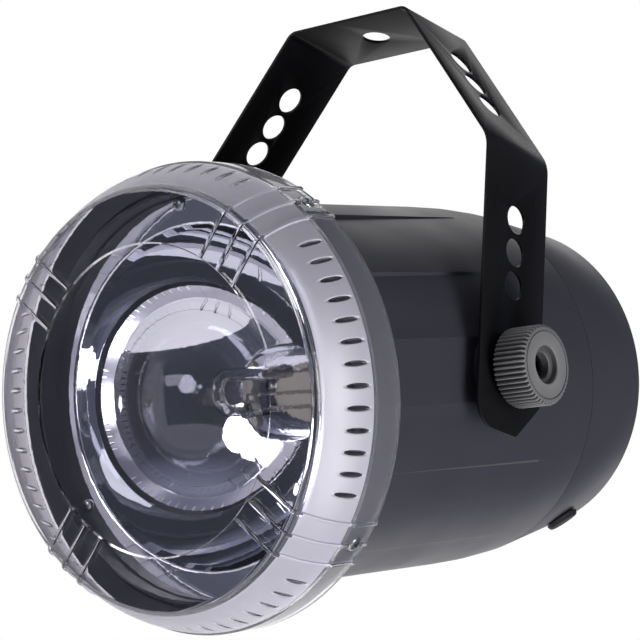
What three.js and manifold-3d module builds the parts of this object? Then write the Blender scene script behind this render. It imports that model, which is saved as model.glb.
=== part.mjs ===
// A round strobe light in a folded steel hanging bracket, in millimetres, +Z up.
// The origin is the centre of the hanging hole, on the outer face of the bracket's top plate.
// +X runs along the tilt axis, and the light looks towards -Y and a little down.

import * as THREE from "three";
import { mergeVertices } from "three/addons/utils/BufferGeometryUtils.js";
import Module from "manifold-3d";

const wasm = await Module();
wasm.setup();

// Clearances and overruns
const seatGap = 0.3; // between pieces that rest on each other or slide into each other
const overrun = 1; // how far a cutting tool passes the face that it cuts
const mergeDistance = 1e-4;

// Roundness of curves
const arcStep = THREE.MathUtils.degToRad(30);
const fineArcStep = THREE.MathUtils.degToRad(15);
const coverSides = 68; // as many to a quarter as the dimples' pitch asks for
const shellSides = 40;
const dishSides = 36;
const mediumSides = 20;
const holeSides = 16;
const smallSides = 12;
const tinySides = 8;
const hexSides = 6;

// Clear front cover: its radius and its front face set the size of the housing
const coverRadius = 80;
const coverFront = -105;
const coverDepth = 32.4;
const coverWall = 2.2;
const bandWidth = 11.8;
const bandStep = 0.7;
const lipInset = 8; // from the band in to the lip
const lipRound = 2.8;
const wallBulge = 1.2;
const windowInset = 27.4; // from the band in to the window
const windowRecess = 0.6;
const clusterAngle = 48; // degrees from the horizontal to the middle rib of the first cluster
const clusterCount = 4;
const ribsInCluster = 3;
const ribSpacing = 8.3;
const ribWidth = 1.3;
const ribHeight = 0.8;
const dimplesInQuadrant = 13;
const dimplePitch = 360 / coverSides; // degrees
const dimpleLength = 13;
const dimpleWidth = 2.2;
const dimpleDepth = 0.7;
const dimpleCentreShare = 0.66; // along the side wall, from the lip to the band
const coverScrewInset = 5.9; // from the band's rear edge
const coverScrewRadius = 1.4;
const coverScrewHeadRadius = 2.7;
const coverScrewHeadHeight = 1.5;
const coverScrewLength = 6;
const lipRadius = coverRadius - lipInset;
const windowRadius = coverRadius - windowInset;
const bandRear = coverFront + coverDepth;
const bandFront = bandRear - bandWidth;
const coverScrewDepth = bandRear - coverScrewInset;

// Barrel: front shell of the housing, with stepped panels that fade out towards the rear
const barrelStep = 13.2; // from the cover's band in to the barrel
const barrelWall = 3.9;
const barrelRear = 61.4; // behind the tilt axis
const stepsEndInset = 29.4;
const barrelTurnInInset = 14.4;
const barrelTurnInDrop = 0.3;
const creaseDrop = 1.4;
const stepDepth = 1.8;
const ringStep = 10; // degrees between a ring's points
const collarClearance = 0.6;
const collarInset = 0.7; // behind the cover's rear edge
const collarWidth = 11.2;
const rimWidth = 3.1;
const rimWall = 2.9;
const rimStep = 4.5; // from the barrel's bore out to the rim's
const barrelRadius = coverRadius - barrelStep;
const barrelInnerRadius = barrelRadius - barrelWall;
const creaseRadius = barrelRadius - creaseDrop;
const collarRadius = coverRadius - coverWall - collarClearance;
const rimInnerRadius = barrelInnerRadius + rimStep;
const rimOuterRadius = rimInnerRadius + rimWall;
const barrelFront = bandRear - collarInset;
const collarFront = barrelFront - collarWidth;
const rimFront = collarFront - rimWidth;
const stepsEnd = barrelRear - stepsEndInset;
const barrelTurnIn = barrelRear - barrelTurnInInset;

// Louvre panels on one side of the barrel, from the crown down to the keel: degrees above the
// horizontal, and depth as a share of stepDepth
const sidePanelTop = 10.6;
const sidePanelBottom = -8.8;
const louvreShares = [
  [90, 0],
  [62, 0],
  [61.2, 1],
  [32.5, 0],
  [31.7, 1],
  [15, 1],
  [sidePanelTop, 0],
  [sidePanelBottom, 0],
  [-13, 1],
  [-28.6, 0],
  [-29.4, 1],
  [-59.2, 0],
  [-60, 0.7],
  [-90, 0],
];

// Bracket: one steel strip, folded four times, with legs that splay a little
const stripWidth = 36;
const stripThickness = 1.2;
const bracketReach = 5.9; // from the barrel out to a leg's outer face, on the tilt axis
const topHalfWidth = 27.5;
const bracketRise = 138.2; // tilt axis up to the top plate's outer face
const shoulderDrop = 57.4; // from the top plate down to the shoulder fold
const legSplay = 2.5; // how far in a leg is at the shoulder fold
const legDrop = 23.4;
const legEndRadius = 10;
const legEndCut = 13.5;
const legCutEdgeRadius = 2.5;
const topFoldRadius = 4;
const shoulderFoldRadius = 12;
const hangingHoleRadius = 5.2;
const stripHoleRadius = 5.1;
const stripHolePitch = 12.1;
const shoulderHoleStart = 23.3; // along a shoulder, from the fold to the first hole
const legHoleStart = 30.3; // above the tilt axis
const holesInRow = 3;
const pivotHoleRadius = 3.5;
const tiltAtRest = 16; // degrees, front down
const bracketHalfWidth = barrelRadius + bracketReach;
const shoulderFoldRise = bracketRise - shoulderDrop;
const shoulderHalfWidth = bracketHalfWidth - legSplay;
const splayPerRise = legSplay / shoulderFoldRise;
const legEndHalfWidth = bracketHalfWidth + splayPerRise * legDrop;

// Clamping parts on the tilt axis, from the housing outwards
const bossRadius = 13;
const bossLength = 14;
const padThickness = 2.2;
const padRadius = 12;
const padGripShare = 0.42; // width of the pad's ring as a share of its radius
const insertRadius = 6;
const insertLength = 10.4;
const clampScrewRadius = 3;
const clampScrewClearance = 0.3;
const washerRadius = 8.5;
const washerThickness = 1.5;
const knobRadius = 14;
const knobLength = 12.8;
const knobRidges = 48;
const knobRidgeDepth = 0.55;
const knobChamfer = 1;
const knobFaceInset = 1.4;
const knobCounterboreRadius = 6.6;
const knobCounterboreDepth = 2.2;
const knobBoreRadius = 4.6;
const knobFloor = 3.4;
const clampHeadRadius = 4.2;
const clampHeadHeight = 4;
const clampSocketRadius = 2.9;
const clampSocketDepth = 2.5;
const legInner = bracketHalfWidth - stripThickness;
const bossProud = legInner - splayPerRise * padRadius - padThickness - 2 * seatGap;
const bossInner = bossProud - bossLength;
const washerInner = bracketHalfWidth + splayPerRise * washerRadius + seatGap;
const knobInner = washerInner + washerThickness + seatGap;
const clampHeadSeat = knobInner + knobFloor + seatGap;

// Rear shell
const rearLength = 43.2;
const rearTaper = 7.1;
const rearWall = 2.5;
const rearEdgeRadius = 1.5;
const spigotLength = 6.5;
const spigotWall = 2;
const rearScrewInset = 12.9; // from the barrel's bore
const rearScrewCount = 4;
const rearTubeRadius = 5.6;
const rearRecessRadius = 4;
const rearRecessInset = 4.6;
const rearScrewRadius = 1.6;
const rearScrewHeadRadius = 3.4;
const rearScrewHeadHeight = 2.4;
const rearScrewLength = 18;
const pillarRadius = 4.6;
const pillarInset = 17.4;
const pillarGap = 1; // between a pillar and the tube that it meets
const webThickness = 3;
const ventCount = 6;
const ventPitchShare = 0.103; // of the back's radius, as are the next three
const ventHeightShare = 0.041;
const ventLengthShare = 0.79;
const ventStartShare = 0.034;
const rearBack = barrelRear + rearLength;
const rearBackRadius = creaseRadius - rearTaper;
const rearScrewCircle = barrelInnerRadius - rearScrewInset;
const rearRecessFloor = barrelRear + rearRecessInset;
const pillarFront = barrelRear - pillarInset;

// Rubber feet under the rear shell
const footRadius = 6.5;
const footHeight = 2;
const footAngle = 27; // degrees to each side of the keel
const footInset = 18; // from the back
const footEdge = 1.2;
const footCentre = rearBack - footInset;

// Reflector: a round bowl with a flat flange in front and a neck behind
const reflectorClearance = 0.4;
const reflectorSheet = 1.2;
const reflectorRecess = 7.1; // behind the rim's front edge
const flangeWidth = 10;
const dishRimDrop = 4.1;
const bowlDepthShare = 0.684; // of the rim's radius, to the bowl's deepest point, were it whole
const neckRadius = 16;
const neckDraft = 0.6;
const neckEdgeRadius = 1.2;
const neckDepth = 10; // from that point to the neck's floor
const dishRingCount = 5;
const dishEdgeRadius = 3.4;
const lampHoleRadius = 10.5;
const reflectorScrewInset = 2;
const reflectorScrewAngles = [90, 210, 330];
const reflectorScrewRadius = 1;
const reflectorScrewHeadRadius = 2.1;
const reflectorScrewHeadHeight = 1.3;
const reflectorScrewLength = 5.5;
const eyeletAngle = 178;
const eyeletRadius = 1.9;
const eyeletBore = 0.8;
const eyeletInset = 11.5; // from the bowl's rim
const reflectorRadius = rimInnerRadius - reflectorClearance;
const reflectorFlangeFront = rimFront + reflectorRecess;
const reflectorLedge = reflectorFlangeFront + reflectorSheet + seatGap;
const reflectorScrewCircle = reflectorRadius - reflectorScrewInset;
const dishRimRadius = reflectorRadius - flangeWidth;
const dishRim = reflectorFlangeFront + dishRimDrop;
const bowlDepth = bowlDepthShare * dishRimRadius;
const dishFloor = dishRim + bowlDepth + neckDepth;
const bowlRadius = (dishRimRadius ** 2 + bowlDepth ** 2) / (2 * bowlDepth);
const bowlCentre = dishRim + bowlDepth - bowlRadius;
const eyeletCircle = dishRimRadius - eyeletInset;

// Flash tube, with its electrodes, trigger wire and base
const tubeRadius = 2.4;
const tubeBore = 1.6;
const tubeHalfSpread = 6.2;
const tubeRise = 1.2; // the U's middle, above the axis
const tubeFrontReach = 36.7; // ahead of the dish's floor
const longLegReach = 9;
const shortLegReach = 23;
const tubeBendSteps = 8;
const electrodeRadius = 0.7;
const electrodeTipRadius = 1.2;
const electrodeTipLength = 3;
const electrodeInset = 7;
const baseRadius = 15;
const baseThickness = 7;
const baseBossRadius = 10.2;
const baseBossProud = 1.6;
const wireTail = 1; // how far the wires come out of the base
const triggerRingWidth = 4;
const triggerRingWall = 0.7;
const triggerRingReach = 27.4;
const triggerWireRadius = 0.55;
const tubeFront = dishFloor - tubeFrontReach;
const anodeRise = tubeRise + tubeHalfSpread;
const cathodeRise = tubeRise - tubeHalfSpread;
const baseFlangeFront = dishFloor + reflectorSheet + seatGap;
const baseRear = baseFlangeFront + baseThickness;
const wireEnd = baseRear + wireTail;

// Circuit board and what it carries, as shares of the barrel's bore and of the board's length
const boardDropShare = 0.528;
const boardWidthShare = 1.4;
const boardThickness = 1.6;
const boardOverlap = 3.1; // under the lamp base
const boardRearGap = 2;
const railHeight = 3;
const railShare = 0.91; // of the board's half width
const capacitors = [
  { radiusShare: 0.175, lengthShare: 0.66, placeShare: -0.68 },
  { radiusShare: 0.143, lengthShare: 0.53, placeShare: -0.16 },
];
const capacitorStartShare = 0.25;
const capacitorRound = 1.2;
const coilRadius = 6;
const coilHeight = 14;
const coilPlaceShares = [0.27, 0.19];
const resistorShares = [0.25, 0.7, 0.23]; // width and height of the half width, length of the length
const resistorPlaceShares = [0.78, 0.53];
const resistorChamfer = 1.2;
const fuseRadius = 2.6;
const fuseLength = 20;
const fuseCapLength = 5;
const fusePlaceShares = [0.37, 0.6];
const fuseClipWidth = 2.4;
const fuseClipHeight = 3.2;
const boardTop = -boardDropShare * barrelInnerRadius;
const boardHalfWidth = (boardWidthShare * barrelInnerRadius) / 2;
const boardFront = baseRear - boardOverlap;
const boardRear = pillarFront - boardRearGap;
const boardLength = boardRear - boardFront;
const boardSeat = boardTop + seatGap;

// Speed control and cable gland on the rear wall
const rearControlClearance = 2.6; // between the potentiometer and a screw tube
const potRadius = 8;
const potLength = 9;
const bushRadius = 3.5;
const bushLength = 8;
const speedShaftRadius = 2.4;
const speedShaftLength = 17;
const speedNutRadius = 6;
const speedNutHeight = 2.2;
const speedKnobRadius = 9;
const speedKnobLength = 13;
const speedKnobRidges = 18;
const speedKnobRidgeDepth = 0.5;
const speedKnobSkirt = 3.4;
const speedPointerWidth = 1.4;
const glandBore = 3;
const glandThreadRadius = 6;
const glandFlangeRadius = 9.5;
const glandFlangeHeight = 5;
const glandDomeRadius = 7.6;
const glandDomeLength = 15;
const glandNutHeight = 4;
const glandThreadLength = 9;
const speedX = (rearScrewCircle - rearTubeRadius - rearControlClearance - potRadius) * Math.SQRT1_2;
const speedZ = -speedX;
const glandX = -speedX;
const glandZ = -speedX;
const wallFront = rearBack - rearWall - seatGap;
const wallBack = rearBack + seatGap;

// Leads
const leadSides = 6;
const leadSteps = 9;
const leadGap = 0.8; // between a lead's end and what it runs to
const lampLeadRadius = 0.9;
const triggerLeadRadius = 0.7;
const controlLeadRadius = 1.5;
const supplyLeadRadius = 2;
const leadBend = 2; // how far a lead runs straight from its end

const axisY = new THREE.Vector3(0, 1, 0);
const radians = THREE.MathUtils.degToRad;

// A solid from a three.js geometry, with its faces turned out.
function solidOf(geometry) {
  const bare = geometry.clone();
  bare.deleteAttribute("normal");
  bare.deleteAttribute("uv");
  const merged = mergeVertices(bare, mergeDistance);
  const corners = merged.index.array;
  const kept = [];
  for (let i = 0; i < corners.length; i += 3) {
    const [a, b, c] = corners.slice(i, i + 3);
    if (a !== b && b !== c && c !== a) kept.push([a, b, c]);
  }
  const build = (triangles) =>
    new wasm.Manifold(
      new wasm.Mesh({
        numProp: 3,
        vertProperties: merged.attributes.position.array,
        triVerts: new Uint32Array(triangles.flat()),
      }),
    );
  const solid = build(kept);
  return solid.volume() < 0 ? build(kept.map(([a, b, c]) => [a, c, b])) : solid;
}

function geometryOf(solid) {
  const { vertProperties, triVerts } = solid.getMesh();
  const geometry = new THREE.BufferGeometry();
  geometry.setAttribute("position", new THREE.BufferAttribute(new Float32Array(vertProperties), 3));
  geometry.setIndex(new THREE.BufferAttribute(new Uint32Array(triVerts), 1));
  geometry.computeVertexNormals();
  return geometry;
}

const joined = (first, ...others) => others.reduce((all, one) => all.add(one), first);
const cut = (first, ...others) => others.reduce((all, one) => all.subtract(one), first);

// Moves a geometry whose own axis is +Y so that the axis points along a direction from a place.
function placed(geometry, place, direction = axisY) {
  const turn = new THREE.Quaternion().setFromUnitVectors(axisY, direction.clone().normalize());
  return geometry.clone().applyQuaternion(turn).translate(place.x, place.y, place.z);
}

// Replaces each corner [x, y, radius] of an outline by an arc.
function rounded(corners, step = arcStep) {
  const points = [];
  corners.forEach(([x, y, radius], i) => {
    if (!radius) {
      points.push([x, y]);
      return;
    }
    const here = new THREE.Vector2(x, y);
    const [bx, by] = corners.at(i - 1);
    const [ax, ay] = corners[(i + 1) % corners.length];
    const back = new THREE.Vector2(bx, by).sub(here).normalize();
    const on = new THREE.Vector2(ax, ay).sub(here).normalize();
    const half = Math.acos(THREE.MathUtils.clamp(back.dot(on), -1, 1)) / 2;
    const middle = back.clone().add(on).setLength(radius / Math.sin(half)).add(here);
    const first = back.setLength(radius / Math.tan(half)).add(here).sub(middle);
    const last = on.setLength(radius / Math.tan(half)).add(here).sub(middle);
    const turn = Math.atan2(first.cross(last), first.dot(last));
    const steps = Math.max(1, Math.ceil(Math.abs(turn) / step));
    for (let k = 0; k <= steps; k++) {
      const angle = first.angle() + (turn * k) / steps;
      points.push([middle.x + radius * Math.cos(angle), middle.y + radius * Math.sin(angle)]);
    }
  });
  return points;
}

// A solid of revolution about the Y axis, from a closed outline of [radius, y].
function revolved(outline, sides) {
  const points = outline.map(([radius, y]) => new THREE.Vector2(radius, y));
  return new THREE.LatheGeometry([...points, points[0].clone()], sides);
}

// A plain ring or disc about the Y axis, between two heights.
const ring = (inner, outer, low, high, sides = mediumSides) =>
  revolved([[inner, low], [outer, low], [outer, high], [inner, high]], sides);

// A hexagonal nut about the Y axis, with a round bore.
function nut(bore, radius, low, high) {
  const body = new THREE.CylinderGeometry(radius, radius, high - low, hexSides).translate(0, (low + high) / 2, 0);
  const hole = rod(bore, high - low + 2 * overrun).translate(0, low - overrun, 0);
  return cut(solidOf(body), solidOf(hole));
}

// A rod from y = 0 to its length.
const rod = (radius, length, sides = smallSides) =>
  new THREE.CylinderGeometry(radius, radius, length, sides).translate(0, length / 2, 0);

// An outline in the XY plane, extruded from z = 0 to the depth.
function prism(outline, depth) {
  const shape = new THREE.Shape(outline.map(([x, y]) => new THREE.Vector2(x, y)));
  return new THREE.ExtrudeGeometry(shape, { depth, bevelEnabled: false });
}

// A box between two corners.
function block([x0, y0, z0], [x1, y1, z1]) {
  const box = new THREE.BoxGeometry(x1 - x0, y1 - y0, z1 - z0);
  return box.translate((x0 + x1) / 2, (y0 + y1) / 2, (z0 + z1) / 2);
}

// Skins a loop of rings into a closed wall: the last ring meets the first.
function loftLoop(rings) {
  const count = rings[0].length;
  const positions = rings.flat().flatMap((point) => point.toArray());
  const index = [];
  rings.forEach((_, i) => {
    const next = (i + 1) % rings.length;
    for (let j = 0; j < count; j++) {
      const k = (j + 1) % count;
      const [a, b, c, d] = [i * count + j, i * count + k, next * count + k, next * count + j];
      index.push(a, b, c, a, c, d);
    }
  });
  const geometry = new THREE.BufferGeometry();
  geometry.setAttribute("position", new THREE.Float32BufferAttribute(positions, 3));
  geometry.setIndex(index);
  return geometry;
}

// A point at a radius and an angle about the Y axis, measured from +X towards +Z.
const polar = (radius, degrees, y) =>
  new THREE.Vector3(radius * Math.cos(radians(degrees)), y, radius * Math.sin(radians(degrees)));

// The direction that points straight out at an angle about the Y axis.
const outwards = (degrees) => polar(1, degrees, 0);

// Turns a geometry about the Y axis from +X towards +Z.
const spun = (geometry, degrees) => geometry.clone().rotateY(-radians(degrees));

const model = new THREE.Group();

function addPiece(group, name, solidOrGeometry, color, roughness, metalness, look = {}) {
  const geometry = solidOrGeometry.isBufferGeometry ? geometryOf(solidOf(solidOrGeometry)) : geometryOf(solidOrGeometry);
  const material = new THREE.MeshStandardMaterial({ color, roughness, metalness, ...look });
  const mesh = new THREE.Mesh(geometry, material);
  mesh.name = name;
  group.add(mesh);
  return mesh;
}

const blackCoat = [0x1b1a1e, 0.45, 0];
const blackPlastic = [0x34333a, 0.5, 0];
const knobPlastic = [0x4b4b4e, 0.6, 0];
const steel = [0xa9abad, 0.35, 1];
const brass = [0xb08d4c, 0.35, 1];
const rubber = [0x141416, 0.8, 0];
const chrome = [0xdfe2e8, 0.05, 1];
const ceramic = [0xe8e4da, 0.6, 0];
const clearPlastic = [0xd9d6e4, 0.08, 0, { transparent: true, opacity: 0.35 }];
const clearGlass = [0xf2f6fa, 0.02, 0, { transparent: true, opacity: 0.35 }];

// Bracket

// The inner path of a folded strip: each fold point moved in by the strip's thickness.
function insetPath(path, distance) {
  return path.map(([x, y], i) => {
    const here = new THREE.Vector2(x, y);
    const dirs = [];
    if (i > 0) dirs.push(here.clone().sub(new THREE.Vector2(...path[i - 1])).normalize());
    if (i < path.length - 1) dirs.push(new THREE.Vector2(...path[i + 1]).sub(here).normalize());
    const normals = dirs.map((dir) => new THREE.Vector2(-dir.y, dir.x));
    const normal = normals.length > 1 ? normals[0].clone().add(normals[1]).normalize() : normals[0];
    const reach = distance / normal.dot(normals[0]);
    return [x + normal.x * reach, y + normal.y * reach];
  });
}

function bracketStrip() {
  const right = [
    [legEndHalfWidth, -legDrop],
    [shoulderHalfWidth, shoulderFoldRise],
    [topHalfWidth, bracketRise],
  ];
  const outer = [...right, ...right.toReversed().map(([x, z]) => [-x, z])];
  const inner = insetPath(outer, stripThickness);
  const radii = [0, shoulderFoldRadius, topFoldRadius, topFoldRadius, shoulderFoldRadius, 0];
  const outline = rounded([
    ...outer.map(([x, z], i) => [x, z, radii[i] && radii[i] + stripThickness]),
    ...inner.map(([x, z], i) => [x, z, radii[i]]).toReversed(),
  ], fineArcStep);
  const strip = prism(outline, stripWidth).rotateX(Math.PI / 2).translate(0, stripWidth / 2, 0);

  // Seen along the tilt axis, each leg ends in a round corner in front and a slanting cut behind.
  const half = stripWidth / 2;
  const side = rounded([
    [-half, bracketRise + overrun],
    [-half, -legDrop, legEndRadius],
    [half - legEndCut, -legDrop, legCutEdgeRadius],
    [half, legEndCut - legDrop, legCutEdgeRadius],
    [half, bracketRise + overrun],
  ], fineArcStep);
  const reach = 2 * (legEndHalfWidth + overrun);
  const ends = prism(side, reach).rotateX(Math.PI / 2).rotateZ(Math.PI / 2).translate(-reach / 2, 0, 0);

  const drillLength = 8 * stripThickness;
  const drill = (radius, x, z, normal) =>
    solidOf(placed(rod(radius, drillLength, holeSides).translate(0, -drillLength / 2, 0), new THREE.Vector3(x, 0, z), normal));
  const shoulder = new THREE.Vector2(shoulderHalfWidth - topHalfWidth, -shoulderDrop).normalize();
  const drills = [drill(hangingHoleRadius, 0, bracketRise, new THREE.Vector3(0, 0, 1))];
  for (const sign of [1, -1]) {
    const alongX = new THREE.Vector3(sign, 0, 0);
    const square = new THREE.Vector3(sign, 0, splayPerRise);
    drills.push(drill(pivotHoleRadius, sign * bracketHalfWidth, 0, alongX));
    for (let i = 0; i < holesInRow; i++) {
      const along = shoulderHoleStart + i * stripHolePitch;
      const x = sign * (topHalfWidth + shoulder.x * along);
      const z = bracketRise + shoulder.y * along;
      drills.push(drill(stripHoleRadius, x, z, new THREE.Vector3(-sign * shoulder.y, 0, shoulder.x)));
      const rise = legHoleStart + i * stripHolePitch;
      drills.push(drill(stripHoleRadius, sign * (bracketHalfWidth - splayPerRise * rise), rise, square));
    }
  }
  return cut(solidOf(strip).intersect(solidOf(ends)), ...drills);
}

const bracket = new THREE.Group();
bracket.position.z = -bracketRise;
model.add(bracket);
addPiece(bracket, "bracket_strip", bracketStrip(), ...blackCoat);

// Housing: everything that tilts
const housing = new THREE.Group();
housing.position.z = -bracketRise;
housing.rotation.x = radians(tiltAtRest);
model.add(housing);

// Degrees round the barrel with the depth share of the louvre panels there: the right side from
// the crown to the keel, then the left side, its mirror image, back up to the crown.
function louvreStations() {
  const side = [];
  for (let i = 0; i + 1 < louvreShares.length; i++) {
    const [[from, depth], [to, nextDepth]] = [louvreShares[i], louvreShares[i + 1]];
    const steps = Math.ceil((from - to) / ringStep);
    for (let k = 0; k < steps; k++) {
      const share = k / steps;
      side.push({ degrees: from + (to - from) * share, depth: depth + (nextDepth - depth) * share });
    }
  }
  const [keelAngle, keelDepth] = louvreShares.at(-1);
  const left = side.slice(1).map(({ degrees, depth }) => ({ degrees: -180 - degrees, depth }));
  return [...side, { degrees: keelAngle, depth: keelDepth }, ...left.toReversed()];
}

function barrelShell() {
  const stations = louvreStations();
  const section = (radius, y, strength = 0) =>
    stations.map(({ degrees, depth }) => {
      const rise = degrees < -90 ? -180 - degrees : degrees;
      const tilt = Math.abs(rise - (sidePanelTop + sidePanelBottom) / 2);
      const half = (sidePanelTop - sidePanelBottom) / 2;
      const flat = tilt < half ? 1 - Math.cos(radians(half)) / Math.cos(radians(tilt)) : 0;
      return polar(radius - strength * (stepDepth * depth + radius * flat), degrees, y);
    });
  const shell = loftLoop([
    section(rimInnerRadius, rimFront),
    section(rimOuterRadius, rimFront),
    section(rimOuterRadius, collarFront),
    section(collarRadius, collarFront),
    section(collarRadius, barrelFront),
    section(barrelRadius, barrelFront, 1),
    section(barrelRadius, stepsEnd),
    section(barrelRadius - barrelTurnInDrop, barrelTurnIn),
    section(creaseRadius, barrelRear),
    section(barrelInnerRadius, barrelRear),
    section(barrelInnerRadius, reflectorLedge),
    section(rimInnerRadius, reflectorLedge),
  ]);
  const added = [];
  const removed = [];
  for (const sign of [1, -1]) {
    const out = new THREE.Vector3(sign, 0, 0);
    const boss = placed(rod(bossRadius, bossProud - bossInner, mediumSides), out.clone().multiplyScalar(bossInner), out);
    const bore = rod(insertRadius + seatGap, bossProud - bossInner + 2 * overrun, smallSides);
    added.push(solidOf(boss));
    removed.push(solidOf(placed(bore, out.clone().multiplyScalar(bossInner - overrun), out)));
    const railLow = boardTop - boardThickness - seatGap - railHeight;
    const railOuter = Math.sqrt(barrelInnerRadius ** 2 - railLow ** 2) + railHeight;
    const [from, to] = [sign * railShare * boardHalfWidth, sign * railOuter].sort((a, b) => a - b);
    added.push(solidOf(block([from, boardFront, railLow], [to, boardRear, railLow + railHeight])));
  }
  for (let i = 0; i < rearScrewCount; i++) {
    const angle = (360 / rearScrewCount) * (i + 0.5);
    const pillarRear = rearRecessFloor - rearWall - pillarGap;
    const pillar = rod(pillarRadius, pillarRear - pillarFront).translate(0, pillarFront, 0);
    const webRear = barrelRear - spigotLength - seatGap;
    const web = block(
      [rearScrewCircle, pillarFront, -webThickness / 2],
      [barrelInnerRadius + seatGap, webRear, webThickness / 2],
    );
    added.push(solidOf(spun(pillar.translate(rearScrewCircle, 0, 0), angle)));
    added.push(solidOf(spun(web, angle)));
    const pilot = rod(rearScrewRadius + seatGap, rearScrewLength, tinySides);
    removed.push(solidOf(placed(pilot, polar(rearScrewCircle, angle, rearRecessFloor - rearScrewLength))));
  }
  for (const angle of reflectorScrewAngles) {
    const pilot = rod(reflectorScrewRadius + seatGap, reflectorScrewLength + overrun, tinySides);
    removed.push(solidOf(placed(pilot, polar(reflectorScrewCircle, angle, reflectorLedge - overrun))));
  }
  for (let i = 0; i < clusterCount; i++) {
    const angle = clusterAngle + (360 / clusterCount) * i;
    const pilot = rod(coverScrewRadius + seatGap, coverScrewLength + overrun, tinySides);
    const foot = polar(coverRadius - coverScrewLength, angle, coverScrewDepth);
    removed.push(solidOf(placed(pilot, foot, outwards(angle))));
  }
  return cut(joined(solidOf(shell), ...added), ...removed);
}

addPiece(housing, "barrel_shell", barrelShell(), ...blackPlastic);

// Clamping parts, the same on both sides of the tilt axis

// A solid ribbed grip about the Y axis, from rings given as [radius, y, ridge share].
function ribbedGrip(stations, ridges, depth) {
  const count = 2 * ridges;
  const rings = stations.map(([radius, y, share]) =>
    Array.from({ length: count }, (_, i) => polar(radius - (i % 2) * depth * share, (360 / count) * i, y)),
  );
  const positions = rings.flat().flatMap((point) => point.toArray());
  const index = [];
  rings.slice(1).forEach((_, i) => {
    for (let j = 0; j < count; j++) {
      const k = (j + 1) % count;
      const [a, b, c, d] = [i * count + j, i * count + k, (i + 1) * count + k, (i + 1) * count + j];
      index.push(a, b, c, a, c, d);
    }
  });
  const last = (rings.length - 1) * count;
  for (let j = 1; j + 1 < count; j++) {
    index.push(0, j + 1, j, last, last + j, last + j + 1);
  }
  const geometry = new THREE.BufferGeometry();
  geometry.setAttribute("position", new THREE.Float32BufferAttribute(positions, 3));
  geometry.setIndex(index);
  return solidOf(geometry);
}

function clampKnob() {
  const grip = ribbedGrip(
    [
      [knobRadius, 0, 1],
      [knobRadius, knobLength - knobChamfer, 1],
      [knobRadius - knobFaceInset, knobLength, 0],
    ],
    knobRidges,
    knobRidgeDepth,
  );
  const bore = (radius, from) => solidOf(rod(radius, knobLength - from + overrun).translate(0, from, 0));
  return cut(
    grip,
    bore(knobCounterboreRadius, knobLength - knobCounterboreDepth),
    bore(knobBoreRadius, knobFloor),
    bore(clampScrewRadius + clampScrewClearance, -overrun),
  );
}

function clampScrew() {
  const length = clampHeadSeat - bossInner - overrun;
  const body = revolved(
    [
      [0, -length],
      [clampScrewRadius - clampScrewRadius / 4, -length],
      [clampScrewRadius, -length + clampScrewRadius / 3],
      [clampScrewRadius, 0],
      [clampHeadRadius, 0],
      [clampHeadRadius, clampHeadHeight],
      [0, clampHeadHeight],
    ],
    smallSides,
  );
  const socket = rod(clampSocketRadius, clampSocketDepth + overrun, hexSides);
  return cut(solidOf(body), solidOf(socket.translate(0, clampHeadHeight - clampSocketDepth, 0)));
}

for (const [side, sign] of [["right", 1], ["left", -1]]) {
  const out = new THREE.Vector3(sign, 0, 0);
  const at = (distance) => out.clone().multiplyScalar(distance);
  const shank = clampScrewRadius + clampScrewClearance;
  const insert = ring(shank, insertRadius, 0, insertLength);
  addPiece(housing, `${side}_threaded_insert`, placed(insert, at(bossProud - seatGap - insertLength), out), ...brass);
  const pad = ring(padRadius * (1 - padGripShare), padRadius, 0, padThickness);
  addPiece(housing, `${side}_friction_pad`, placed(pad, at(bossProud + seatGap), out), ...rubber);
  const washer = ring(shank, washerRadius, 0, washerThickness);
  addPiece(housing, `${side}_washer`, placed(washer, at(washerInner), out), ...steel);
  addPiece(housing, `${side}_clamp_knob`, placed(geometryOf(clampKnob()), at(knobInner), out), ...knobPlastic);
  addPiece(housing, `${side}_clamp_screw`, placed(geometryOf(clampScrew()), at(clampHeadSeat), out), ...steel);
}

// Rear shell: a cone that closes the barrel, with its screws driven from behind

// Outer radius of the rear shell at a place along the housing's axis.
function rearRadiusAt(y) {
  const share = THREE.MathUtils.clamp((y - barrelRear) / (rearBack - barrelRear), 0, 1);
  return THREE.MathUtils.lerp(creaseRadius, rearBackRadius, share);
}

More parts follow.
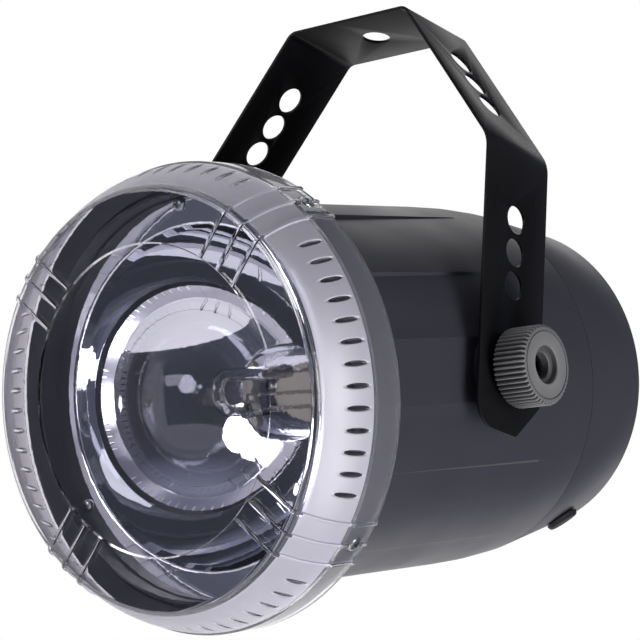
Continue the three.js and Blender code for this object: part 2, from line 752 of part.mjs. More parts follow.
function rearShell() {
  const front = barrelRear + seatGap;
  const spigot = barrelInnerRadius - seatGap;
  const outline = rounded([
    [rearRadiusAt(front), front],
    [rearRadiusAt(rearBack), rearBack, rearEdgeRadius],
    [0, rearBack],
    [0, rearBack - rearWall],
    [rearRadiusAt(rearBack) - rearWall, rearBack - rearWall],
    [spigot - spigotWall, front + spigotWall],
    [spigot - spigotWall, barrelRear - spigotLength],
    [spigot, barrelRear - spigotLength],
    [spigot, front],
  ]);
  const added = [];
  const removed = [];
  for (let i = 0; i < rearScrewCount; i++) {
    const angle = (360 / rearScrewCount) * (i + 0.5);
    const tubeFrontEnd = rearRecessFloor - rearWall;
    const tube = rod(rearTubeRadius, rearBack - rearWall / 2 - tubeFrontEnd);
    const web = block(
      [rearScrewCircle, tubeFrontEnd, -webThickness / 2],
      [rearBackRadius - rearWall / 2, rearBack - rearEdgeRadius, webThickness / 2],
    );
    added.push(solidOf(placed(tube, polar(rearScrewCircle, angle, tubeFrontEnd))), solidOf(spun(web, angle)));
    const recess = rod(rearRecessRadius, rearBack - rearRecessFloor + overrun);
    const hole = rod(rearScrewRadius + seatGap, rearWall + 2 * overrun, tinySides);
    removed.push(solidOf(placed(recess, polar(rearScrewCircle, angle, rearRecessFloor))));
    removed.push(solidOf(placed(hole, polar(rearScrewCircle, angle, tubeFrontEnd - overrun))));
  }
  const [ventPitch, ventHeight, ventLength, ventStart] = [
    ventPitchShare,
    ventHeightShare,
    ventLengthShare,
    ventStartShare,
  ].map((share) => share * rearBackRadius);
  for (let i = 0; i < ventCount; i++) {
    const low = ventStart + i * ventPitch;
    const end = ventLength / 2 - ventHeight / 2;
    const slot = prism(
      [
        [-end, low],
        [end, low],
        [ventLength / 2, low + ventHeight / 2],
        [end, low + ventHeight],
        [-end, low + ventHeight],
        [-ventLength / 2, low + ventHeight / 2],
      ],
      rearWall + 2 * overrun,
    );
    removed.push(solidOf(slot.rotateX(Math.PI / 2).translate(0, rearBack + overrun, 0)));
  }
  const wallHole = ([x, z], radius) =>
    solidOf(rod(radius + seatGap, rearWall + 2 * overrun).translate(x, rearBack - rearWall - overrun, z));
  removed.push(wallHole([speedX, speedZ], bushRadius), wallHole([glandX, glandZ], glandThreadRadius));
  return cut(joined(solidOf(revolved(outline, shellSides)), ...added), ...removed);
}

addPiece(housing, "rear_shell", rearShell(), ...blackPlastic);

function headedScrew(shankRadius, length, headRadius, headHeight) {
  return revolved(
    [
      [0, -length],
      [shankRadius, -length],
      [shankRadius, 0],
      [headRadius, 0],
      [headRadius - headHeight / 2, headHeight],
      [0, headHeight],
    ],
    tinySides,
  );
}

for (let i = 0; i < rearScrewCount; i++) {
  const angle = (360 / rearScrewCount) * (i + 0.5);
  const screw = headedScrew(rearScrewRadius, rearScrewLength - overrun, rearScrewHeadRadius, rearScrewHeadHeight);
  const seat = polar(rearScrewCircle, angle, rearRecessFloor + seatGap);
  addPiece(housing, `rear_screw_${i + 1}`, placed(screw, seat), ...steel);
}

// Rubber feet, flat pads that stand square on the rear shell
for (const [side, sign] of [["right", 1], ["left", -1]]) {
  const slope = Math.atan2(rearRadiusAt(footCentre - footRadius) - rearRadiusAt(footCentre + footRadius), 2 * footRadius);
  const angle = -90 + sign * footAngle;
  const square = outwards(angle).multiplyScalar(Math.cos(slope)).add(new THREE.Vector3(0, Math.sin(slope), 0));
  const foot = revolved(
    rounded([
      [0, 0],
      [footRadius, 0],
      [footRadius - footEdge / 2, footHeight, footEdge],
      [0, footHeight],
    ]),
    smallSides,
  );
  const seat = polar(rearRadiusAt(footCentre) + seatGap, angle, footCentre);
  addPiece(housing, `${side}_rear_foot`, placed(foot, seat, square), ...rubber);
}

// Clear front cover: a drum with a plain band, a dimpled side wall and a flat ribbed front

// Outer outline of the cover from the band's rear edge to the window, as [radius, y].
function coverOutline(proud = 0) {
  const bandEdge = new THREE.Vector2(coverRadius - bandStep, bandFront - bandStep);
  const lip = new THREE.Vector2(lipRadius, coverFront + lipRound);
  const side = lip.clone().sub(bandEdge);
  const square = new THREE.Vector2(-side.y, side.x).normalize();
  const middle = bandEdge.clone().addScaledVector(side, 0.5).addScaledVector(square, wallBulge + proud);
  return [
    [coverRadius + proud, bandRear],
    [coverRadius + proud, bandFront],
    [bandEdge.x + proud, bandEdge.y],
    [middle.x, middle.y],
    [lipRadius + proud, lip.y],
    [lipRadius - lipRound * 0.3 + proud * 0.7, coverFront + lipRound * 0.3 - proud * 0.7],
    [lipRadius - lipRound, coverFront - proud],
    [windowRadius, coverFront - proud],
  ];
}

function coverRib(offset) {
  const flatten = ([radius, y]) => [Math.sqrt(radius ** 2 - offset ** 2), y];
  const outer = coverOutline(ribHeight).map(flatten);
  const inner = coverOutline(-coverWall / 2).map(flatten);
  const rib = prism([...outer, ...inner.toReversed()], ribWidth);
  return rib.translate(0, 0, offset - ribWidth / 2);
}

// A long, thin tool with pointed ends, whose middle plane lies on the side wall.
function dimpleTool() {
  const lens = new THREE.OctahedronGeometry(1);
  const wall = coverOutline();
  const [bandX, bandY] = wall[2];
  const [lipX, lipY] = wall[4];
  const slope = Math.atan2(bandX - lipX, bandY - lipY);
  const square = new THREE.Vector2(Math.cos(slope), -Math.sin(slope));
  const bulge = wallBulge * 4 * dimpleCentreShare * (1 - dimpleCentreShare);
  const x = THREE.MathUtils.lerp(lipX, bandX, dimpleCentreShare) + square.x * bulge;
  const y = THREE.MathUtils.lerp(lipY, bandY, dimpleCentreShare) + square.y * bulge;
  return lens
    .scale(dimpleDepth, dimpleLength / 2, dimpleWidth / 2)
    .rotateZ(-slope)
    .translate(x, y, 0);
}

function frontCover() {
  const outer = coverOutline();
  const insideFront = coverFront + coverWall;
  const inner = coverOutline(-coverWall);
  const [bandInside, lipInside] = [inner[1], inner[4]];
  const glassFront = coverFront + windowRecess;
  const body = revolved(
    [
      ...outer,
      [windowRadius - windowRecess, glassFront],
      [0, glassFront],
      [0, insideFront],
      [lipInside[0], insideFront],
      bandInside,
      inner[0],
    ],
    coverSides,
  );
  // Each dimple lies along the middle of a facet.
  const turn = clusterAngle + 180 / clusterCount + dimplePitch / 2;
  const ribs = [];
  const dimples = [];
  const screwHoles = [];
  for (let i = 0; i < clusterCount; i++) {
    const quadrant = clusterAngle + (360 / clusterCount) * i;
    for (let k = 0; k < ribsInCluster; k++) {
      ribs.push(solidOf(spun(coverRib((k - (ribsInCluster - 1) / 2) * ribSpacing), quadrant)));
    }
    for (let k = 0; k < dimplesInQuadrant; k++) {
      const angle = quadrant + 180 / clusterCount + (k - (dimplesInQuadrant - 1) / 2) * dimplePitch;
      dimples.push(solidOf(spun(dimpleTool(), angle)));
    }
    const hole = rod(coverScrewHeadRadius + seatGap, 2 * coverWall);
    const seat = polar(coverRadius - coverWall / 2, quadrant, coverScrewDepth);
    screwHoles.push(solidOf(placed(hole, seat, outwards(quadrant))));
    const shank = rod(coverScrewRadius + seatGap, 4 * coverWall, tinySides);
    const foot = polar(coverRadius - 2 * coverWall, quadrant, coverScrewDepth);
    screwHoles.push(solidOf(placed(shank, foot, outwards(quadrant))));
  }
  return cut(joined(solidOf(spun(body, turn - 90)), ...ribs), ...dimples, ...screwHoles);
}

addPiece(housing, "front_cover", frontCover(), ...clearPlastic);

for (let i = 0; i < clusterCount; i++) {
  const angle = clusterAngle + (360 / clusterCount) * i;
  const screw = headedScrew(coverScrewRadius, coverScrewLength - overrun, coverScrewHeadRadius, coverScrewHeadHeight);
  const seat = polar(coverRadius - coverWall / 2 + seatGap, angle, coverScrewDepth);
  addPiece(housing, `cover_screw_${i + 1}`, placed(screw, seat, outwards(angle)), ...steel);
}

// Reflector

// Where the bowl's face is at a radius.
function bowlAt(radius) {
  return bowlCentre + Math.sqrt(bowlRadius ** 2 - radius ** 2);
}

// Points of the bowl from the rim to the neck, as [radius, y], equally far apart along it.
function bowlCurve() {
  const rimAngle = Math.asin(dishRimRadius / bowlRadius);
  const neckAngle = Math.asin(neckRadius / bowlRadius);
  return Array.from({ length: dishRingCount + 1 }, (_, i) => {
    const radius = bowlRadius * Math.sin(THREE.MathUtils.lerp(rimAngle, neckAngle, i / dishRingCount));
    return [radius, bowlAt(radius)];
  });
}

function reflector() {
  const curve = bowlCurve();
  const front = [
    [reflectorRadius, reflectorFlangeFront],
    [dishRimRadius + dishEdgeRadius, reflectorFlangeFront, dishEdgeRadius],
    ...curve.slice(0, -1),
    [...curve.at(-1), neckEdgeRadius],
    [neckRadius - neckDraft, dishFloor],
    [lampHoleRadius, dishFloor],
  ];
  const back = insetPath(front.map(([radius, y]) => [radius, y]), -reflectorSheet);
  const outline = rounded([
    ...front,
    [lampHoleRadius, dishFloor + reflectorSheet],
    ...back.slice(1, -1).toReversed(),
    [reflectorRadius, reflectorFlangeFront + reflectorSheet],
  ]);
  const holes = reflectorScrewAngles.map((angle) => {
    const hole = rod(reflectorScrewRadius + seatGap, 3 * reflectorSheet, tinySides);
    return solidOf(placed(hole, polar(reflectorScrewCircle, angle, reflectorFlangeFront - reflectorSheet)));
  });
  const eyelet = eyeletFrame();
  const eyeletHole = rod(eyeletRadius - seatGap, 8 * reflectorSheet, tinySides).translate(0, -4 * reflectorSheet, 0);
  return cut(solidOf(revolved(outline, dishSides)), ...holes, solidOf(placed(eyeletHole, eyelet.place, eyelet.inwards)));
}

// Where the trigger eyelet sits on the dish, and the way that it faces.
function eyeletFrame() {
  const place = polar(eyeletCircle, eyeletAngle, bowlAt(eyeletCircle));
  const inwards = axisY.clone().multiplyScalar(bowlCentre).sub(place).normalize();
  return { place: place.addScaledVector(inwards, seatGap), inwards };
}

addPiece(housing, "reflector", reflector(), ...chrome);

reflectorScrewAngles.forEach((angle, i) => {
  const screw = headedScrew(
    reflectorScrewRadius,
    reflectorScrewLength,
    reflectorScrewHeadRadius,
    reflectorScrewHeadHeight,
  );
  const seat = polar(reflectorScrewCircle, angle, reflectorFlangeFront - seatGap);
  addPiece(housing, `reflector_screw_${i + 1}`, placed(screw, seat, axisY.clone().negate()), ...steel);
});

const eyeletAt = eyeletFrame();
const eyeletShank = eyeletRadius - 2 * seatGap;
const eyelet = revolved(
  [
    [eyeletBore, -2 * reflectorSheet],
    [eyeletShank, -2 * reflectorSheet],
    [eyeletShank, 0],
    [eyeletRadius, seatGap],
    [eyeletRadius, eyeletRadius / 2],
    [eyeletBore, eyeletRadius / 2],
  ],
  tinySides,
);
addPiece(housing, "trigger_eyelet", placed(eyelet, eyeletAt.place, eyeletAt.inwards), ...brass);

// Flash tube and its base

// A hollow U of glass: outer rings along the tube, then inner rings all the way back.
function flashTube() {
  const stations = Array.from({ length: tubeBendSteps + 1 }, (_, i) => {
    const angle = (Math.PI * i) / tubeBendSteps;
    const out = new THREE.Vector3(0, -Math.sin(angle), -Math.cos(angle));
    return { middle: new THREE.Vector3(0, tubeFront, tubeRise).addScaledVector(out, tubeHalfSpread), out };
  });
  const end = ({ middle, out }, reach) => ({ middle: middle.clone().setY(dishFloor - reach), out });
  const path = [end(stations[0], shortLegReach), ...stations, end(stations.at(-1), longLegReach)];
  const circle = ({ middle, out }, radius) =>
    Array.from({ length: tinySides }, (_, i) => {
      const angle = (2 * Math.PI * i) / tinySides;
      const point = middle.clone().addScaledVector(out, radius * Math.cos(angle));
      return point.setX(radius * Math.sin(angle));
    });
  const outer = path.map((station) => circle(station, tubeRadius));
  const inner = path.map((station) => circle(station, tubeBore));
  return loftLoop([...outer, ...inner.toReversed()]);
}

addPiece(housing, "flash_tube", flashTube(), ...clearGlass);

function electrode(legReach) {
  const tipRear = dishFloor - legReach - electrodeInset;
  return revolved(
    [
      [0, tipRear - electrodeTipLength],
      [electrodeTipRadius, tipRear - electrodeTipLength],
      [electrodeTipRadius, tipRear],
      [electrodeRadius, tipRear],
      [electrodeRadius, wireEnd],
      [0, wireEnd],
    ],
    tinySides,
  );
}

addPiece(housing, "anode_electrode", electrode(longLegReach).translate(0, 0, anodeRise), ...steel);
addPiece(housing, "cathode_electrode", electrode(shortLegReach).translate(0, 0, cathodeRise), ...steel);

// The trigger wire runs straight from the base, then down to a band round the tube's lower leg.
function triggerWire() {
  const inner = tubeRadius + seatGap;
  const middle = dishFloor - triggerRingReach;
  const [front, rear] = [middle - triggerRingWidth / 2, middle + triggerRingWidth / 2];
  const band = ring(inner, inner + triggerRingWall, front, rear, smallSides).translate(0, 0, cathodeRise);
  const wire = rod(triggerWireRadius, wireEnd - middle, tinySides).translate(0, middle, 0);
  const drop = cathodeRise + inner + triggerRingWall / 2;
  const jog = placed(
    rod(triggerWireRadius, triggerWireRadius / 2 - drop, tinySides),
    new THREE.Vector3(0, middle, drop),
    new THREE.Vector3(0, 0, 1),
  );
  return joined(solidOf(band), solidOf(wire), solidOf(jog));
}

addPiece(housing, "trigger_wire", triggerWire(), ...steel);

function lampBase() {
  const body = revolved(
    [
      [0, dishFloor - baseBossProud],
      [baseBossRadius, dishFloor - baseBossProud],
      [baseBossRadius, baseFlangeFront],
      [baseRadius, baseFlangeFront],
      [baseRadius, baseRear],
      [0, baseRear],
    ],
    mediumSides,
  );
  const front = dishFloor - baseBossProud - overrun;
  const passage = (radius, z) =>
    solidOf(rod(radius + seatGap, baseRear + overrun - front, tinySides).translate(0, front, z));
  return cut(
    solidOf(body),
    passage(electrodeRadius, anodeRise),
    passage(electrodeRadius, cathodeRise),
    passage(triggerWireRadius, 0),
  );
}

addPiece(housing, "lamp_base", lampBase(), ...ceramic);

// Circuit board and what stands on it

// A place on the board, from its shares of the half width and of the length.
const onBoard = ([widthShare, lengthShare]) =>
  new THREE.Vector3(widthShare * boardHalfWidth, boardFront + lengthShare * boardLength, boardSeat);

addPiece(
  housing,
  "circuit_board",
  block([-boardHalfWidth, boardFront, boardTop - boardThickness], [boardHalfWidth, boardRear, boardTop]),
  0x2f6b45,
  0.6,
  0,
);

capacitors.forEach(({ radiusShare, lengthShare, placeShare }, i) => {
  const radius = radiusShare * barrelInnerRadius;
  const length = lengthShare * boardLength;
  const can = revolved(
    rounded([
      [0, 0],
      [radius, 0, capacitorRound],
      [radius, length, capacitorRound],
      [0, length],
    ]),
    smallSides,
  );
  const place = onBoard([placeShare, capacitorStartShare]);
  place.z += radius;
  addPiece(housing, `capacitor_${i + 1}`, placed(can, place), 0x2a3f78, 0.4, 0);
});

const coil = revolved(
  rounded([
    [0, 0],
    [coilRadius, 0],
    [coilRadius, coilHeight, capacitorRound],
    [0, coilHeight],
  ]),
  smallSides,
);
const coilPlace = onBoard(coilPlaceShares);
addPiece(housing, "trigger_coil", placed(coil, coilPlace, new THREE.Vector3(0, 0, 1)), 0x7a2c22, 0.5, 0);

const [resistorWidth, resistorHeight] = [resistorShares[0] * boardHalfWidth, resistorShares[2] * boardHalfWidth];
const resistorLength = resistorShares[1] * boardLength;
const resistorSection = rounded([
  [-resistorWidth / 2, 0],
  [resistorWidth / 2, 0],
  [resistorWidth / 2, resistorHeight, resistorChamfer],
  [-resistorWidth / 2, resistorHeight, resistorChamfer],
]);
const resistor = prism(resistorSection, resistorLength).rotateX(Math.PI / 2).translate(0, resistorLength / 2, 0);
const resistorPlace = onBoard(resistorPlaceShares);
addPiece(housing, "power_resistor", resistor.translate(...resistorPlace.toArray()), ...ceramic);

// The fuse stands in two clips that are part of its metal caps.
const fuseRise = fuseClipHeight + fuseRadius / 2;

function boardFuse() {
  const glass = revolved(
    [
      [0, 0],
      [fuseRadius, 0],
      [fuseRadius, fuseCapLength],
      [fuseRadius * 0.9, fuseCapLength],
      [fuseRadius * 0.9, fuseLength - fuseCapLength],
      [fuseRadius, fuseLength - fuseCapLength],
      [fuseRadius, fuseLength],
      [0, fuseLength],
    ],
    tinySides,
  ).translate(0, 0, fuseRise);
  const clips = [0, fuseLength - fuseClipWidth].map((y) =>
    solidOf(block([-fuseRadius, y, 0], [fuseRadius, y + fuseClipWidth, fuseRise])),
  );
  return joined(solidOf(glass), ...clips);
}

const fusePlace = onBoard(fusePlaceShares).add(new THREE.Vector3(0, -fuseLength / 2, 0));
addPiece(housing, "board_fuse", geometryOf(boardFuse()).translate(...fusePlace.toArray()), ...steel);

// Leads: lamp to board, trigger wire to coil, speed control to board, cable gland to board
function addLead(name, radius, color, path) {
  const curve = new THREE.CatmullRomCurve3(path.map((point) => new THREE.Vector3(...point)));
  const circle = Array.from({ length: leadSides }, (_, i) => {
    const angle = (2 * Math.PI * i) / leadSides;
    return new THREE.Vector2(radius * Math.cos(angle), radius * Math.sin(angle));
  });
  const lead = new THREE.ExtrudeGeometry(new THREE.Shape(circle), {
    extrudePath: curve,
    steps: leadSteps,
    bevelEnabled: false,
  });
  addPiece(housing, name, lead, color, 0.7, 0);
}

const lampLeadEnd = wireEnd + leadGap;
const lampLeadTurn = wireEnd + leadGap + 3 * leadBend;
const boardLeadEnd = boardSeat + leadGap / 2;
for (const [name, color, rise, side] of [
  ["anode_lead", 0xa8322a, anodeRise, -2.5 * leadBend],
  ["cathode_lead", 0x1c1c20, cathodeRise, 0],
]) {
  addLead(name, lampLeadRadius, color, [
    [0, lampLeadEnd, rise],
    [side / 10, lampLeadEnd + leadBend, rise - leadBend / 4],
    [side / 2, lampLeadTurn - leadBend, rise - 3 * leadBend],
    [side, lampLeadTurn, (rise + boardTop) / 2],
    [side, lampLeadTurn, boardLeadEnd + leadBend],
    [side, lampLeadTurn, boardLeadEnd],
  ]);
}
const coilTop = boardSeat + coilHeight + leadGap;
addLead("trigger_lead", triggerLeadRadius, 0xd8d4c8, [
  [0, lampLeadEnd, 0],
  [leadBend / 2, lampLeadEnd + leadBend, 0],
  [coilPlace.x - leadBend, coilPlace.y - leadBend / 2, coilTop / 2],
  [coilPlace.x, coilPlace.y, coilTop + leadBend],
  [coilPlace.x, coilPlace.y, coilTop],
]);
const boardLanding = boardRear - controlLeadRadius - leadGap;
const addRearLead = (name, radius, color, x, z, from) =>
  addLead(name, radius, color, [
    [x, from, z],
    [x, from - 3 * leadBend, z],
    [x, boardLanding + 5 * leadBend, (z + boardTop) / 2 + leadBend],
    [x, boardLanding + leadBend / 4, boardLeadEnd + 2 * leadBend],
    [x, boardLanding, boardLeadEnd],
  ]);
addRearLead("control_lead", controlLeadRadius, 0x8d8f94, speedX, speedZ, wallFront - potLength - leadGap);
addRearLead("supply_lead", supplyLeadRadius, 0x26262a, glandX, glandZ, wallBack - glandThreadLength - leadGap);

// Speed control: a potentiometer behind the rear wall, with its nut and knob outside
function potentiometer() {
  const body = revolved(
    [
      [speedShaftRadius + seatGap, wallFront - potLength],
      [potRadius, wallFront - potLength],
      [potRadius, wallFront],
      [bushRadius, wallFront],
      [bushRadius, wallFront + bushLength],
      [speedShaftRadius + seatGap, wallFront + bushLength],
    ],
    smallSides,
  );
  return body.translate(speedX, 0, speedZ);
}

addPiece(housing, "speed_potentiometer", potentiometer(), ...steel);

const speedNut = nut(bushRadius + seatGap, speedNutRadius, wallBack, wallBack + speedNutHeight);
addPiece(housing, "speed_nut", geometryOf(speedNut).translate(speedX, 0, speedZ), ...steel);

const speedKnobFront = wallBack + seatGap;
const speedKnobBack = speedKnobFront + speedKnobLength;
const speedShaftFront = wallFront - potLength + seatGap;
const speedShaft = rod(speedShaftRadius, speedShaftLength).translate(speedX, speedShaftFront, speedZ);
addPiece(housing, "speed_shaft", speedShaft, ...steel);

function speedKnob() {
  const grip = ribbedGrip(
    [
      [speedKnobRadius, speedKnobFront, 0],
      [speedKnobRadius, speedKnobFront + speedKnobSkirt, 0],
      [speedKnobRadius - knobChamfer, speedKnobFront + speedKnobSkirt + knobChamfer, 1],
      [speedKnobRadius - 1.5 * knobChamfer, speedKnobBack - knobChamfer, 1],
      [speedKnobRadius - 2.5 * knobChamfer, speedKnobBack, 0],
    ],
    speedKnobRidges,
    speedKnobRidgeDepth,
  );
  const bore = (radius, end) =>
    solidOf(rod(radius, end - speedKnobFront + overrun).translate(0, speedKnobFront - overrun, 0));
  const pointer = block(
    [-speedPointerWidth / 2, speedKnobBack - knobChamfer, 0],
    [speedPointerWidth / 2, speedKnobBack + overrun, speedKnobRadius],
  );
  const knob = cut(
    grip,
    bore(speedNutRadius + seatGap, wallFront + bushLength + seatGap),
    bore(speedShaftRadius + seatGap, speedShaftFront + speedShaftLength + seatGap),
    solidOf(pointer),
  );
  return geometryOf(knob).translate(speedX, 0, speedZ);
}

addPiece(housing, "speed_knob", speedKnob(), ...knobPlastic);

// Cable gland: a body that passes the rear wall, and a lock nut inside
function cableGland() {
  const flangeBack = wallBack + glandFlangeHeight;
  const domeBack = flangeBack + glandDomeLength;
  const threadFront = wallBack - glandThreadLength;
  const sleeve = ring(glandBore, glandThreadRadius, threadFront, flangeBack - seatGap, smallSides);
  const flange = nut(glandBore, glandFlangeRadius, wallBack, flangeBack);
  const dome = revolved(
    rounded([
      [glandBore, flangeBack - seatGap],
      [glandDomeRadius, flangeBack - seatGap],
      [glandDomeRadius, domeBack - glandDomeRadius / 2],
      [glandBore + glandDomeRadius / 6, domeBack],
      [glandBore, domeBack],
    ]),
    smallSides,
  );
  return geometryOf(joined(solidOf(sleeve), flange, solidOf(dome))).translate(glandX, 0, glandZ);
}

addPiece(housing, "cable_gland", cableGland(), ...blackPlastic);

const glandNut = nut(glandThreadRadius + seatGap, glandFlangeRadius, wallFront - glandNutHeight, wallFront);
addPiece(housing, "gland_nut", geometryOf(glandNut).translate(glandX, 0, glandZ), ...blackPlastic);

export default model;
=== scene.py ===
"""Strobe light in a folded hanging bracket: its looks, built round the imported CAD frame.

The row frame has its origin in the bracket's hanging hole, +Z up and +X along the tilt axis. The
housing has a frame of its own, whose Y axis is the optical axis, with the lens towards -Y. Sizes
are in millimetres and become metres where a mesh is made.
"""

from __future__ import annotations

import logging
import math
from contextlib import contextmanager
from dataclasses import dataclass, field
from enum import Enum
from typing import Any, Callable, Iterable, Iterator, Mapping, Sequence

import bpy
from mathutils import Matrix, Vector

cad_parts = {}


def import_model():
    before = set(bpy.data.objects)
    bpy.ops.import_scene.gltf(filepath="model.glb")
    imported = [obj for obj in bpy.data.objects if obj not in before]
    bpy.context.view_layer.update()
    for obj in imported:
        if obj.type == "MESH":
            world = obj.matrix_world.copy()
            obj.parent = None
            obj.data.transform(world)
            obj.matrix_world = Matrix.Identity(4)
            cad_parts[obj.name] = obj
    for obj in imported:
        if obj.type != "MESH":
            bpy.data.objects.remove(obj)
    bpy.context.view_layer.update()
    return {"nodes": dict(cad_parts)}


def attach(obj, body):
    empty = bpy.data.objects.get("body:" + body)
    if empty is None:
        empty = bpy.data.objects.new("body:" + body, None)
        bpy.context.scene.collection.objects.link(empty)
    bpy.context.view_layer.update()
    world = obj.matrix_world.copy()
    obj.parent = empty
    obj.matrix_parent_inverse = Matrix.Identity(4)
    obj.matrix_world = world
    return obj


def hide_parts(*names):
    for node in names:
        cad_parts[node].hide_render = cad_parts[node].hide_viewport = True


log = logging.getLogger("strobe_light")

MM = 0.001
BRACKET_RISE = 138.2
TILT = math.radians(16)
SEAT_GAP = 0.3
HANGING = Matrix.Translation((0, 0, -BRACKET_RISE * MM))
HOUSING = HANGING @ Matrix.Rotation(TILT, 4, "X")

REARWARD = Vector((0, 1, 0))  # along the optical axis
FORWARD = Vector((0, -1, 0))
FINE_ARC = math.radians(6)
CORNER_ANGLES = (45, 135, 225, 315)  # of the rear screws
CLUSTER_ANGLES = (48, 138, 228, 318)  # of the cover's middle ribs and screws
REAR_BACK = 104.6  # place of the rear wall's outer face
CONTROL_PLACE = 23.9002  # how far the rear controls are from the middle, sideways and down

Piece = bpy.types.Object
Tree = bpy.types.NodeTree
Socket = bpy.types.NodeSocket
Point = tuple[float, float]
Outline = Sequence[tuple[float, ...]]


class Body(str, Enum):
    """Bodies of the mechanism that a piece can ride on."""

    BRACKET = "bracket"
    HOUSING = "housing"
    RIGHT_WASHER = "right_washer_body"
    LEFT_WASHER = "left_washer_body"
    RIGHT_CLAMP = "right_clamp"
    LEFT_CLAMP = "left_clamp"
    SPEED = "speed_control"


# Numbers and outlines


def linear(colour: str) -> tuple[float, float, float, float]:
    """Turns an sRGB hex colour into linear values.

    Args:
        colour: Six hex digits after a hash.

    Returns:
        Red, green, blue and an alpha of 1.
    """
    parts = [int(colour[i : i + 2], 16) / 255 for i in (1, 3, 5)]
    red, green, blue = (p / 12.92 if p <= 0.04045 else ((p + 0.055) / 1.055) ** 2.4 for p in parts)
    return red, green, blue, 1.0


def rounded(corners: Outline, step: float = math.radians(12)) -> list[Point]:
    """Replaces each corner that has a radius by an arc.

    Args:
        corners: Closed outline of (x, y) or (x, y, radius).
        step: Largest turn between two points of an arc.

    Returns:
        The outline's points.
    """
    points: list[Point] = []
    for i, corner in enumerate(corners):
        if len(corner) < 3 or not corner[2]:
            points.append((corner[0], corner[1]))
            continue
        here, radius = Vector(corner[:2]), corner[2]
        back = (Vector(corners[i - 1][:2]) - here).normalized()
        on = (Vector(corners[(i + 1) % len(corners)][:2]) - here).normalized()
        half = back.angle(on) / 2
        middle = here + (back + on).normalized() * radius / math.sin(half)
        first = here + back * radius / math.tan(half) - middle
        last = here + on * radius / math.tan(half) - middle
        turn = math.atan2(first.cross(last), first.dot(last))
        steps = max(1, math.ceil(abs(turn) / step))
        start = math.atan2(first.y, first.x)
        for k in range(steps + 1):
            angle = start + turn * k / steps
            points.append((middle.x + radius * math.cos(angle), middle.y + radius * math.sin(angle)))
    return points


def inset_path(path: Sequence[Point], distance: float) -> list[Point]:
    """Moves an open path sideways, to its left.

    Args:
        path: Points of the path.
        distance: How far each stretch moves.

    Returns:
        As many points, each on the fold between the moved stretches.
    """
    moved: list[Point] = []
    for i, point in enumerate(path):
        here = Vector(point)
        ways = [(here - Vector(path[i - 1])).normalized()] if i else []
        if i + 1 < len(path):
            ways.append((Vector(path[i + 1]) - here).normalized())
        normals = [Vector((-way.y, way.x)) for way in ways]
        normal = (normals[0] + normals[-1]).normalized()
        moved.append(tuple(here + normal * distance / normal.dot(normals[0])))
    return moved


def polar(radius: float, degrees: float, y: float = 0) -> Vector:
    """A point about the optical axis, its angle measured from +X towards +Z."""
    angle = math.radians(degrees)
    return Vector((radius * math.cos(angle), y, radius * math.sin(angle)))


def way(degrees: float) -> Vector:
    """The direction straight out from the optical axis at an angle."""
    return polar(1, degrees)


def facing(place: Vector, direction: Vector) -> Matrix:
    """Seats a piece that is modelled along +Y.

    Args:
        place: Where its origin goes, in millimetres.
        direction: Where its +Y points.

    Returns:
        The matrix, in metres.
    """
    turn = Vector((0, 1, 0)).rotation_difference(direction.normalized())
    return Matrix.Translation(place * MM) @ turn.to_matrix().to_4x4()


# Bench tools: each works on the active object, some in edit mode and some in object mode


def into(mode: str) -> None:
    """Changes the mode: OBJECT or EDIT."""
    bpy.ops.object.mode_set(mode=mode)


def grow(step: Vector | Sequence[float]) -> None:
    """Extrudes what is selected by a step in metres."""
    bpy.ops.mesh.extrude_region_move(TRANSFORM_OT_translate={"value": step})


def pick_all() -> None:
    """Selects all of the mesh being edited."""
    bpy.ops.mesh.select_all(action="SELECT")


def pick(*pieces: Piece) -> None:
    """Selects only these pieces and makes the first one active.

    Args:
        *pieces: The pieces.
    """
    bpy.ops.object.select_all(action="DESELECT")
    for piece in pieces:
        piece.select_set(True)
    bpy.context.view_layer.objects.active = pieces[0]


@contextmanager
def editing(piece: Piece, kind: str = "VERT") -> Iterator[Piece]:
    """Opens a piece in edit mode and closes it again.

    Args:
        piece: The mesh object to edit.
        kind: What is picked there: VERT, EDGE or FACE.

    Yields:
        The same piece.
    """
    pick(piece)
    into("EDIT")
    bpy.ops.mesh.select_mode(type=kind)
    yield piece
    into("OBJECT")


def choose(piece: Piece, test: Callable[[Vector], bool], kind: str = "VERT") -> None:
    """Selects vertices, edges or faces of a piece in edit mode by their place.

    Args:
        piece: The piece being edited.
        test: Tells of a place in millimetres whether it is wanted. An edge and a face count by
            the middle of their corners.
        kind: VERT, EDGE or FACE.
    """
    bpy.ops.mesh.select_all(action="DESELECT")
    into("OBJECT")
    mesh = piece.data
    points = [v.co / MM for v in mesh.vertices]
    if kind == "VERT":
        for vertex, point in zip(mesh.vertices, points):
            vertex.select = test(point)
    elif kind == "EDGE":
        for edge in mesh.edges:
            edge.select = test((points[edge.vertices[0]] + points[edge.vertices[1]]) / 2)
    else:
        for face in mesh.polygons:
            face.select = test(face.center / MM)
    into("EDIT")


def mend() -> None:
    """Merges doubles of the mesh being edited and turns its faces outwards."""
    pick_all()
    bpy.ops.mesh.remove_doubles(threshold=2e-6)
    bpy.ops.mesh.normals_make_consistent(inside=False)


